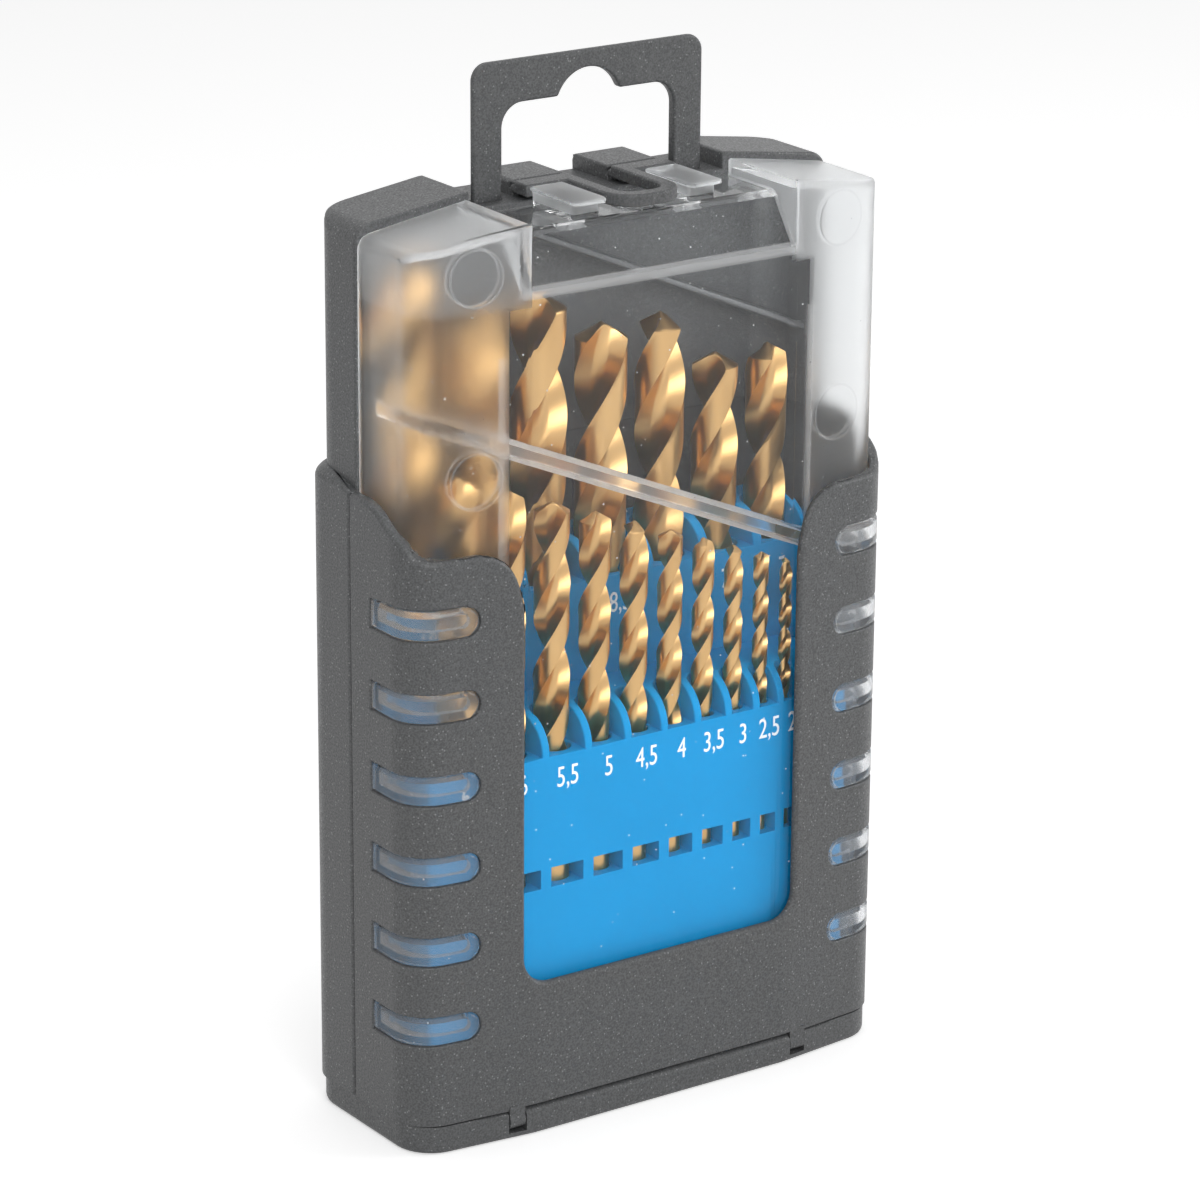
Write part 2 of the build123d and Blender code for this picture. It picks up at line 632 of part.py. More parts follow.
with BuildPart() as bars:
    with BuildSketch(Plane.XY.offset(LID_BOTTOM)):
        add(cover_plan(GRIP_HALF_W, GRIP_FRONT_Y, -PARTING_GAP, CORNER_R))
        add(
            cover_plan(CASE_HALF_W - WALL / 2, LID_FRONT_Y + WALL / 2, WALL, CORNER_R - WALL / 2),
            mode=Mode.SUBTRACT,
        )
    extrude(amount=RIM_FRONT_Z - LID_BOTTOM)
    add(bar_bank(0), mode=Mode.INTERSECT)

with BuildPart() as bar_pockets:
    with BuildSketch(Plane.XY.offset(LID_BOTTOM)):
        add(
            cover_plan(
                GRIP_HALF_W - BAR_WALL, GRIP_FRONT_Y + BAR_WALL, -PARTING_GAP, CORNER_R - BAR_WALL,
            )
        )
    extrude(amount=RIM_FRONT_Z - LID_BOTTOM)
    add(bar_bank(-BAR_WALL), mode=Mode.INTERSECT)

with BuildPart() as lid_rib:
    with BuildSketch():
        add(
            cover_plan(
                CASE_HALF_W - WALL / 2, LID_FRONT_Y + WALL / 2, LID_RIB_BACK_Y, CORNER_R - WALL / 2,
            )
        )
    extrude(amount=LID_CREST_Z)
    rib_start_z = FRONT_TIP_Z + LID_RIB_RISE + RIB_SLOPE * CASE_HALF_W
    add(rib_solid(-CASE_HALF_W, rib_start_z, CASE_HALF_W, LID_RIB_T), mode=Mode.INTERSECT)

with BuildPart() as lid:
    with BuildSketch(Plane.XY.offset(LID_BOTTOM)):
        add(cover_plan(CASE_HALF_W, LID_FRONT_Y, -PARTING_GAP, CORNER_R))
    extrude(amount=LID_CREST_Z - LID_BOTTOM)
    extrude(
        to_extrude=shoulder_outline(FACET_X, LID_CREST_Z, LID_SHOULDER_SLOPE, LID_TOP_R, 0),
        amount=-GRIP_FRONT_Y, both=True, mode=Mode.INTERSECT,
    )
    extrude(to_extrude=lid_recess_outline(0), amount=FACET_X, both=True, mode=Mode.SUBTRACT)
    add(lid_core.part, mode=Mode.SUBTRACT)
    add(bars.part)
    add(bar_pockets.part, mode=Mode.SUBTRACT)
    add(lid_rib.part)
    with BuildSketch(Plane.XY.offset(LEDGE_Z - WALL / 2)):
        with Locations((0, NUB_BACK_Y)):
            Rectangle(2 * NUB_HALF_W, NUB_LENGTH, align=(Align.CENTER, Align.MAX))
    extrude(amount=NUB_H + WALL / 2)
    for side in (-1, 1):
        tab_x = side * (TAB_IN_X + TAB_OUT_X) / 2
        with BuildSketch(Plane.XY.offset(LEDGE_Z - WALL / 2)):
            with Locations((tab_x, TAB_BACK_Y)):
                Rectangle(
                    TAB_OUT_X - TAB_IN_X - 2 * TAB_INSET, TAB_BACK_Y - TAB_FRONT_Y - TAB_OVERHANG,
                    align=(Align.CENTER, Align.MAX),
                )
        extrude(amount=TAB_TOP_Z - LEDGE_Z + WALL / 2)
        with BuildSketch(Plane.XY.offset(TAB_TOP_Z - TAB_PLATE_H)) as plate:
            with Locations((tab_x, TAB_BACK_Y)):
                Rectangle(
                    TAB_OUT_X - TAB_IN_X, TAB_BACK_Y - TAB_FRONT_Y, align=(Align.CENTER, Align.MAX),
                )
            fillet(plate.vertices().group_by(Axis.Y)[0], radius=TAB_R)
        extrude(amount=TAB_PLATE_H)
lid.part.label = "lid"
export_step(lid.part, "parts/lid.step")


# Lid grip: jacket round the lower lid with the window, the bar slots and the hinge lugs
with BuildPart() as lid_grip:
    with BuildSketch(Plane.XY.offset(LID_BOTTOM)):
        add(cover_plan(GRIP_HALF_W, GRIP_FRONT_Y, -PARTING_GAP, CORNER_R))
        add(cover_plan(CASE_HALF_W + FIT, LID_FRONT_Y - FIT, WALL, CORNER_R), mode=Mode.SUBTRACT)
    extrude(amount=RIM_SEAM_Z - LID_BOTTOM)
    with BuildSketch(Plane.YZ):
        with BuildLine():
            side_points = [(y, RIM_SEAM_Z - drop) for y, drop in RIM_SIDE]
            Spline((0, RIM_SEAM_Z), *side_points, (RIM_LEVEL_Y, RIM_FRONT_Z), tangents=((-1, 0), (-1, 0)))
            Polyline(
                (RIM_LEVEL_Y, RIM_FRONT_Z), (GRIP_FRONT_Y - CUT_PAST, RIM_FRONT_Z),
                (GRIP_FRONT_Y - CUT_PAST, RIM_SEAM_Z + CUT_PAST), (0, RIM_SEAM_Z + CUT_PAST), (0, RIM_SEAM_Z),
            )
        make_face()
    extrude(amount=GRIP_HALF_W + CUT_PAST, both=True, mode=Mode.SUBTRACT)
    extrude(to_extrude=window_outline(), amount=-GRIP_FRONT_Y + CUT_PAST, mode=Mode.SUBTRACT)
    add(bar_bank(BAR_CLEAR), mode=Mode.SUBTRACT)
    with Locations((0, LID_FRONT_Y, LID_BOTTOM)):
        Box(
            2 * LUG_MIDDLE_X, -2 * LID_FRONT_Y, 2 * SEAM_EXTRA, mode=Mode.SUBTRACT,
        )
    for side in (-1, 1):
        lug_x = side * (LUG_IN_X + LUG_OUT_X) / 2
        with BuildSketch(Plane.YZ.offset(lug_x)):
            with Locations((HINGE_Y, HINGE_Z)):
                Circle(LUG_R)
            with Locations((GRIP_FRONT_Y + SEAM_EXTRA, HINGE_Z)):
                Rectangle(
                    LUG_BACK_Y - GRIP_FRONT_Y - SEAM_EXTRA, LID_BOTTOM - HINGE_Z - FIT,
                    align=(Align.MIN, Align.MIN),
                )
                Rectangle(
                    LID_FRONT_Y - FIT - GRIP_FRONT_Y - SEAM_EXTRA, LID_BOTTOM - HINGE_Z + 2 * SEAM_EXTRA,
                    align=(Align.MIN, Align.MIN),
                )
            with Locations((HINGE_Y, HINGE_Z)):
                Circle(PIN_R + PIN_CLEAR, mode=Mode.SUBTRACT)
        extrude(amount=(LUG_OUT_X - LUG_IN_X) / 2, both=True)
lid_grip.part.label = "lid_grip"
export_step(lid_grip.part, "parts/lid_grip.step")


# Hanger: sliding frame with the hook notch, raised inner rims and stop feet
with BuildPart() as hanger:
    with BuildSketch(Plane.XZ.offset(-HANGER_FRONT_Y)) as hanger_face:
        with Locations((0, HANGER_TOP_Z)):
            Rectangle(2 * HANGER_HALF_W, HANGER_TOP_Z - HANGER_LEG_Z, align=(Align.CENTER, Align.MAX))
        fillet(hanger_face.vertices().group_by(Axis.Y)[-1], radius=HANGER_OUT_R)
        with Locations((0, HOOK_NOTCH_TOP_Z - HOOK_NOTCH_R)):
            Circle(HOOK_NOTCH_R, mode=Mode.SUBTRACT)
        add(hanger_opening(0), mode=Mode.SUBTRACT)
    extrude(amount=-HANGER_T)
    with BuildSketch(Plane.XZ.offset(-HANGER_FRONT_Y - HANGER_T)):
        add(hanger_opening(HANGER_RIM_W))
        with Locations((0, HOOK_NOTCH_TOP_Z - HOOK_NOTCH_R)):
            Circle(HOOK_NOTCH_R + HANGER_RIM_W)
            Circle(HOOK_NOTCH_R, mode=Mode.SUBTRACT)
        add(hanger_opening(0), mode=Mode.SUBTRACT)
    extrude(amount=-HANGER_RIM_T)
    for side in (-1, 1):
        with Locations((side * HANGER_HALF_W, HANGER_FRONT_Y, HANGER_LEG_Z)):
            Box(2 * FOOT_OUT, HANGER_T, FOOT_H, align=(Align.CENTER, Align.MIN, Align.MIN))
hanger.part.label = "hanger"
export_step(hanger.part, "parts/hanger.step")


# Latch loop: sprung hairpin with two wings, turning on a bead in front of the guide blocks
with BuildPart() as latch_loop:
    with BuildSketch(Plane.XY.offset(LATCH_LOW_Z)) as loop_plan:
        with Locations((0, LATCH_WING_BACK_Y)):
            Rectangle(
                2 * LATCH_LEG_OUT_X, LATCH_WING_BACK_Y - LATCH_FRONT_Y, align=(Align.CENTER, Align.MAX),
            )
        fillet(loop_plan.vertices().group_by(Axis.Y)[0], radius=LATCH_OUT_R)
        with Locations((0, LATCH_WING_BACK_Y)):
            Rectangle(
                2 * LATCH_HALF_W, LATCH_WING_BACK_Y - LATCH_WING_FRONT_Y, align=(Align.CENTER, Align.MAX),
            )
        add(latch_slot(), mode=Mode.SUBTRACT)
    extrude(amount=LATCH_TOP_Z - LATCH_LOW_Z)
    for side in (-1, 1):
        bead_x = side * (LATCH_LEG_IN_X + LATCH_HALF_W) / 2
        with BuildSketch(Plane.YZ.offset(bead_x)):
            with Locations((LATCH_AXIS_Y, LATCH_AXIS_Z)):
                Circle(LATCH_BEAD_R)
        extrude(amount=(LATCH_HALF_W - LATCH_LEG_IN_X) / 2, both=True)
latch_loop.part.label = "latch_loop"
export_step(latch_loop.part, "parts/latch_loop.step")


# Front holder: lower tier for the thin bits, with the trunnions it leans on
with BuildPart() as front_holder:
    with BuildSketch(Plane.XY.offset(HOLDER_LOW_Z)):
        add(cover_plan(HOLDER_HALF_W, HOLDER_FRONT_Y, HOLDER_SPLIT_Y, HOLDER_CORNER_R))
    extrude(amount=FRONT_TIER_Z - HOLDER_LOW_Z)
    roof = front_holder.faces().sort_by(Axis.Z)[-1]
    fillet(roof.edges().filter_by(front_of(HOLDER_SPLIT_Y - TIER_R)), radius=TIER_R)
    with BuildSketch(Plane.YZ):
        with BuildLine():
            Polyline(
                (HOLDER_FRONT_Y, HOLDER_LOW_Z), (HOLDER_FRONT_Y + HOLDER_TOE_CHAMFER, HOLDER_LOW_Z),
                (HOLDER_FRONT_Y, HOLDER_LOW_Z + HOLDER_TOE_CHAMFER), close=True,
            )
        make_face()
    extrude(amount=HOLDER_HALF_W, both=True, mode=Mode.SUBTRACT)
    add(bore_solid(front_row(), FRONT_TIER_Z), mode=Mode.SUBTRACT)
    add(notch_solid(front_row(), FRONT_NOTCH_Z, FRONT_TIER_Z + CUT_PAST, HOLDER_FRONT_Y), mode=Mode.SUBTRACT)
    for diameter, _, _, (x, y, foot_z) in front_row():
        if foot_z < SHANK_WINDOW_Z - SHANK_WINDOW_H:
            with Locations((x, y, SHANK_WINDOW_Z)):
                Box(
                    diameter + SHANK_WINDOW_EXTRA, y - HOLDER_FRONT_Y + CUT_PAST, SHANK_WINDOW_H,
                    align=(Align.CENTER, Align.MAX, Align.CENTER), mode=Mode.SUBTRACT,
                )
    for side in (-1, 1):
        notch_in_x = EAR_IN_X - EAR_GAP
        with Locations((side * (notch_in_x + HOLDER_HALF_W) / 2, PIVOT_Y + EAR_R + EAR_GAP, 0)):
            Box(
                HOLDER_HALF_W - notch_in_x + FIT, -HOLDER_FRONT_Y, PIVOT_Z + EAR_R + EAR_GAP,
                align=(Align.CENTER, Align.MAX, Align.MIN), mode=Mode.SUBTRACT,
            )
        trunnion_foot = (side * (notch_in_x - CUT_PAST), PIVOT_Y, PIVOT_Z)
        with BuildSketch(Plane(origin=trunnion_foot, z_dir=(side, 0, 0))):
            Circle(TRUNNION_R)
        extrude(amount=EAR_IN_X + EAR_T - notch_in_x + CUT_PAST)
front_holder.part.label = "front_holder"
export_step(front_holder.part, "parts/front_holder.step")


# Rear holder: taller tier for the thick bits, standing against the front tier
with BuildPart() as rear_holder:
    with BuildSketch(Plane.XY.offset(HOLDER_LOW_Z)) as rear_plan:
        with Locations((0, HOLDER_SPLIT_Y)):
            Rectangle(2 * HOLDER_HALF_W, HOLDER_BACK_Y - HOLDER_SPLIT_Y, align=(Align.CENTER, Align.MIN))
        fillet(rear_plan.vertices().group_by(Axis.Y)[-1], radius=HOLDER_CORNER_R)
    extrude(amount=REAR_TIER_Z - HOLDER_LOW_Z)
    fillet(rear_holder.faces().sort_by(Axis.Z)[-1].edges().sort_by(Axis.Y)[0], radius=TIER_R)
    chamfer(rear_holder.faces().sort_by(Axis.Z)[0].edges().sort_by(Axis.Y)[-1], length=HOLDER_HEEL_CHAMFER)
    add(bore_solid(rear_row(), REAR_TIER_Z), mode=Mode.SUBTRACT)
    add(notch_solid(rear_row(), REAR_NOTCH_Z, REAR_TIER_Z + CUT_PAST, HOLDER_SPLIT_Y), mode=Mode.SUBTRACT)
rear_holder.part.label = "rear_holder"
export_step(rear_holder.part, "parts/rear_holder.step")


# Drill bits: plain shank, two right-hand flutes and a conical point, each standing in its bore
for diameter, length, flute, (x, y, foot_z) in front_row() + rear_row():
    radius = diameter / 2
    lead = math.pi * diameter / math.tan(math.radians(HELIX_ANGLE))
    steps = math.ceil(flute / lead * STEPS_PER_TURN)
    flute_z = foot_z + length - flute
    with BuildPart() as bit:
        with BuildSketch(Plane((x, y, foot_z))):
            Circle(radius)
        extrude(amount=length - flute)
        for step in range(steps + 1):
            rise = flute * step / steps
            turn = 2 * math.pi * rise / lead
            with BuildSketch(Plane((x, y, flute_z + rise), x_dir=(math.cos(turn), math.sin(turn), 0))):
                Circle(radius)
                flute_x = radius * FLUTE_OUT
                flute_y = radius * FLUTE_SIDE
                with Locations((flute_x, flute_y), (-flute_x, -flute_y)):
                    Circle(radius * FLUTE_SPAN, mode=Mode.SUBTRACT)
        loft()
        point_drop = (radius + FIT) / math.tan(math.radians(POINT_ANGLE / 2))
        with BuildSketch(Plane((x, y, foot_z + length), x_dir=(1, 0, 0), z_dir=(0, -1, 0))):
            with BuildLine():
                Polyline((0, 0), (radius + FIT, -point_drop), (radius + FIT, FIT), (0, FIT), close=True)
            make_face()
        revolve(axis=Axis((x, y, 0), (0, 0, 1)), mode=Mode.SUBTRACT)
    size_name = f"{diameter:.1f}".replace(".", "_")
    bit.part.label = f"drill_bit_{size_name}"
    export_step(bit.part, f"parts/drill_bit_{size_name}.step")
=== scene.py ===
"""Dressed model of an upright drill bit case: clear lid, grey case, blue holder, gold bits."""

import logging
import math
from dataclasses import dataclass, field
from enum import Enum

import bmesh
import bpy
from mathutils import Euler, Matrix, Vector

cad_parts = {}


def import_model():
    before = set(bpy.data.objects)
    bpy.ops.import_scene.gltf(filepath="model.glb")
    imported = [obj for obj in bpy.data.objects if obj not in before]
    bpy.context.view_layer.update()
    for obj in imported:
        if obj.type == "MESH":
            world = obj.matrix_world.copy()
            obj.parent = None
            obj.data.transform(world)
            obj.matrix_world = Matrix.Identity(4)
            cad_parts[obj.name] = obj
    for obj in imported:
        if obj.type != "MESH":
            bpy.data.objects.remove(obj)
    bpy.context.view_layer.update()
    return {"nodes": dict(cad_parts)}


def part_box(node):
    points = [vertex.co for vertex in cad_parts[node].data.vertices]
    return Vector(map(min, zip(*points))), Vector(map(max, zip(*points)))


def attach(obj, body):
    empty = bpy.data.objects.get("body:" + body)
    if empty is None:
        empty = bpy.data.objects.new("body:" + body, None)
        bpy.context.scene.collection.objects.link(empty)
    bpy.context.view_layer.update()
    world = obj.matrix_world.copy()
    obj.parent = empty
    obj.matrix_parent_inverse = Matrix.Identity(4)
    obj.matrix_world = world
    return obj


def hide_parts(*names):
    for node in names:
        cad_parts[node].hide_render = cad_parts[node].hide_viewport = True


LOG = logging.getLogger("drill_bit_case")
MM = 0.001
INNER_CORNER = 20.0  # degrees past which a hollow corner of a moulding shades sharp
OUTER_CORNER = 50.0  # the same for its outer corners
BIT_CORNER = 38.0  # the same for the bits

Colour = tuple[float, float, float]
Socket = bpy.types.NodeSocket


class Tier(Enum):
    """The two steps of the bit holder."""

    FRONT = "front"
    REAR = "rear"


# ---------------------------------------------------------------------------
# Node helpers
# ---------------------------------------------------------------------------


class ShaderSheet:
    """Small builder for one material's node tree."""

    def __init__(self, name: str) -> None:
        """Start an empty material.

        Args:
            name: Name of the new material.
        """
        self.material = bpy.data.materials.new(name)
        self.material.use_nodes = True
        self.tree = self.material.node_tree
        self.tree.nodes.clear()
        self.output = self.tree.nodes.new("ShaderNodeOutputMaterial")
        self.place = self.tree.nodes.new("ShaderNodeTexCoord").outputs["Object"]

    def node(self, kind: str, **values: object) -> bpy.types.Node:
        """Add a node and set its properties and input values.

        Args:
            kind: Blender's node type.
            **values: Properties of the node, or inputs by name with spaces as underscores.

        Returns:
            The new node.
        """
        made = self.tree.nodes.new(kind)
        for key, value in values.items():
            if hasattr(made, key):
                setattr(made, key, value)
            else:
                self.feed(made.inputs[key.replace("_", " ")], value)
        return made

    def feed(self, target: Socket, value: object) -> None:
        """Link a socket to an input, or write a plain value there.

        Args:
            target: Input that receives the value.
            value: An output socket, a number or a tuple.
        """
        if isinstance(value, bpy.types.NodeSocket):
            self.tree.links.new(value, target)
        else:
            target.default_value = value

    def math(self, operation: str, *terms: object) -> Socket:
        """Add a Math node.

        Args:
            operation: Blender's operation name.
            *terms: Up to three sockets or numbers.

        Returns:
            The result socket.
        """
        made = self.tree.nodes.new("ShaderNodeMath")
        made.operation = operation
        for target, term in zip(made.inputs, terms):
            self.feed(target, term)
        return made.outputs[0]

    def blend(self, factor: object, low: object, high: object) -> Socket:
        """Mix two colours.

        Args:
            factor: Share of the second colour.
            low: First colour or socket.
            high: Second colour or socket.

        Returns:
            The mixed colour socket.
        """
        made = self.tree.nodes.new("ShaderNodeMix")
        made.data_type = "RGBA"
        self.feed(made.inputs["Factor"], factor)
        self.feed(made.inputs["A"], (*low, 1.0) if isinstance(low, tuple) else low)
        self.feed(made.inputs["B"], (*high, 1.0) if isinstance(high, tuple) else high)
        return made.outputs["Result"]

    def ramp(
        self, value: Socket, low: float, high: float, to_low: float = 0.0, to_high: float = 1.0
    ) -> Socket:
        """Smoothly remap a value between two limits.

        Args:
            value: Socket to remap.
            low: Value that gives the first result.
            high: Value that gives the second result.
            to_low: First result.
            to_high: Second result.

        Returns:
            The remapped socket.
        """
        made = self.tree.nodes.new("ShaderNodeMapRange")
        made.interpolation_type = "SMOOTHSTEP"
        limits = {"From Min": low, "From Max": high, "To Min": to_low, "To Max": to_high}
        for name, number in limits.items():
            made.inputs[name].default_value = number
        self.feed(made.inputs["Value"], value)
        return made.outputs["Result"]

    def noise(self, scale: float, detail: float = 2.0, stretch: Colour = (1.0, 1.0, 1.0)) -> Socket:
        """Add a noise on object coordinates.

        Args:
            scale: Noise scale, in cells a metre.
            detail: Octaves of detail.
            stretch: Scale of each axis.

        Returns:
            The noise value socket.
        """
        turned = self.node("ShaderNodeMapping", Vector=self.place, Scale=stretch)
        cells = self.node("ShaderNodeTexNoise", Vector=turned.outputs[0], Scale=scale, Detail=detail)
        return cells.outputs[0]

    def dots(self, spacing: float, radius: float) -> Socket:
        """Scatter small round dots through space.

        Args:
            spacing: Mean distance between neighbours, in mm.
            radius: Radius of a dot, in mm.

        Returns:
            One inside a dot, zero outside.
        """
        cells = self.node(
            "ShaderNodeTexVoronoi", Vector=self.place, Scale=1 / (spacing * MM), Randomness=1.0
        )
        reach = radius / spacing
        return self.ramp(cells.outputs["Distance"], reach * 0.7, reach * 1.3, 1.0, 0.0)

    def between(self, factor: object, first: Socket, second: Socket) -> Socket:
        """Mix two shaders.

        Args:
            factor: Share of the second shader.
            first: First shader.
            second: Second shader.

        Returns:
            The mixed shader socket.
        """
        made = self.tree.nodes.new("ShaderNodeMixShader")
        for target, value in zip(made.inputs, (factor, first, second)):
            self.feed(target, value)
        return made.outputs[0]

    def bump(self, height: Socket, strength: float, distance: float) -> Socket:
        """Add a bump.

        Args:
            height: Height socket.
            strength: Bump strength.
            distance: Depth in metres.

        Returns:
            The normal socket.
        """
        return self.node("ShaderNodeBump", Height=height, Strength=strength, Distance=distance).outputs[0]

    def finish(self, surface: Socket) -> bpy.types.Material:
        """Link the surface to the output.

        Args:
            surface: Shader socket.

        Returns:
            The finished material.
        """
        self.tree.links.new(surface, self.output.inputs["Surface"])
        return self.material


# ---------------------------------------------------------------------------
# Finishes
# ---------------------------------------------------------------------------


@dataclass(frozen=True)
class SpeckledGlintPlastic:
    """Dark grey spark-textured plastic; fine pale dots are painted into its colour as glints, standing in
    for the sparkle of the spark texture.

    Attributes:
        base: Colour of the plastic.
        glint_colour: Colour of the painted glints.
        roughness: Surface roughness.
        grain: Size of the spark texture's cells, in mm.
        glint_spacing: Mean distance between painted glints, in mm.
        glint_radius: Radius of a painted glint, in mm.
    """

    base: Colour = (0.074, 0.076, 0.078)
    # Colour of the painted glints: pale dots that stand in for the sparkle of the spark texture.
    glint_colour: Colour = (0.30, 0.305, 0.31)
    roughness: float = 0.44
    grain: float = 0.30
    glint_spacing: float = 0.85
    glint_radius: float = 0.13

    def material(self) -> bpy.types.Material:
        """Make the material.

        Returns:
            The speckled plastic, with its painted glints.
        """
        sheet = ShaderSheet("speckled_grey_plastic_with_painted_glints")
        grain = sheet.noise(1 / (self.grain * MM), 2.0)
        # Painted glints: pale dots that stand in for the sparkle of the spark texture.
        painted_glints = sheet.dots(self.glint_spacing, self.glint_radius)
        dark = tuple(part * 0.72 for part in self.base)
        pale = tuple(part * 1.32 for part in self.base)
        tone = sheet.blend(sheet.ramp(grain, 0.30, 0.70), dark, pale)
        # The painted glints are mixed into the plastic's colour here.
        tone = sheet.blend(sheet.math("MULTIPLY", painted_glints, 0.55), tone, self.glint_colour)
        shader = sheet.node(
            "ShaderNodeBsdfPrincipled",
            Base_Color=tone,
            Roughness=sheet.ramp(grain, 0.3, 0.7, self.roughness + 0.10, self.roughness - 0.08),
            Normal=sheet.bump(grain, 0.6, 0.035 * MM),
        )
        return sheet.finish(shader.outputs[0])


@dataclass(frozen=True)
class HolderPlastic:
    """Bright blue satin plastic of the bit holder.

    Attributes:
        base: Colour of the plastic.
        roughness: Surface roughness.
        gloss: Strength of its reflections.
    """

    base: Colour = (0.0, 0.25, 0.55)
    roughness: float = 0.45
    gloss: float = 0.08

    def material(self) -> bpy.types.Material:
        """Make the material.

        Returns:
            The blue plastic.
        """
        sheet = ShaderSheet("holder_blue_plastic")
        fine = sheet.noise(1 / (0.5 * MM), 2.0)
        broad = sheet.ramp(sheet.noise(60.0, 2.0), 0.3, 0.7)
        deep = tuple(part * 0.95 for part in self.base)
        shader = sheet.node(
            "ShaderNodeBsdfPrincipled",
            Base_Color=sheet.blend(broad, deep, self.base),
            Roughness=sheet.ramp(fine, 0.3, 0.7, self.roughness - 0.05, self.roughness + 0.07),
            Normal=sheet.bump(fine, 0.2, 0.02 * MM),
        )
        shader.inputs["Specular IOR Level"].default_value = self.gloss
        return sheet.finish(shader.outputs[0])


@dataclass(frozen=True)
class GoldCoating:
    """Gold nitride coating on ground steel.

    Attributes:
        base: Colour of the coating.
        dark: Colour of its duller patches.
        roughness: Surface roughness.
    """

    base: Colour = (0.66, 0.41, 0.175)
    dark: Colour = (0.60, 0.36, 0.145)
    roughness: float = 0.31

    def material(self) -> bpy.types.Material:
        """Make the material.

        Returns:
            The gold coating.
        """
        sheet = ShaderSheet("gold_nitride_coating")
        cloud = sheet.ramp(sheet.noise(60.0, 1.0), 0.35, 0.65)
        satin = sheet.noise(1 / (0.25 * MM), 2.0)
        shader = sheet.node(
            "ShaderNodeBsdfPrincipled",
            Base_Color=sheet.blend(cloud, self.base, self.dark),
            Roughness=sheet.ramp(satin, 0.3, 0.7, self.roughness - 0.01, self.roughness + 0.02),
        )
        shader.inputs["Metallic"].default_value = 1.0
        return sheet.finish(shader.outputs[0])


@dataclass(frozen=True)
class DrawnSteel:
    """Bright drawn wire of the hinge pins.

    Attributes:
        base: Colour of the steel.
        roughness: Surface roughness.
    """

    base: Colour = (0.62, 0.62, 0.64)
    roughness: float = 0.3

    def material(self) -> bpy.types.Material:
        """Make the material.

        Returns:
            The steel.
        """
        sheet = ShaderSheet("drawn_steel")
        lines = sheet.noise(1 / (0.2 * MM), 2.0, (0.1, 1.0, 1.0))
        dull = tuple(part * 0.8 for part in self.base)
        shader = sheet.node(
            "ShaderNodeBsdfPrincipled",
            Base_Color=sheet.blend(lines, dull, self.base),
            Roughness=sheet.ramp(lines, 0.3, 0.7, self.roughness - 0.05, self.roughness + 0.1),
        )
        shader.inputs["Metallic"].default_value = 1.0
        return sheet.finish(shader.outputs[0])


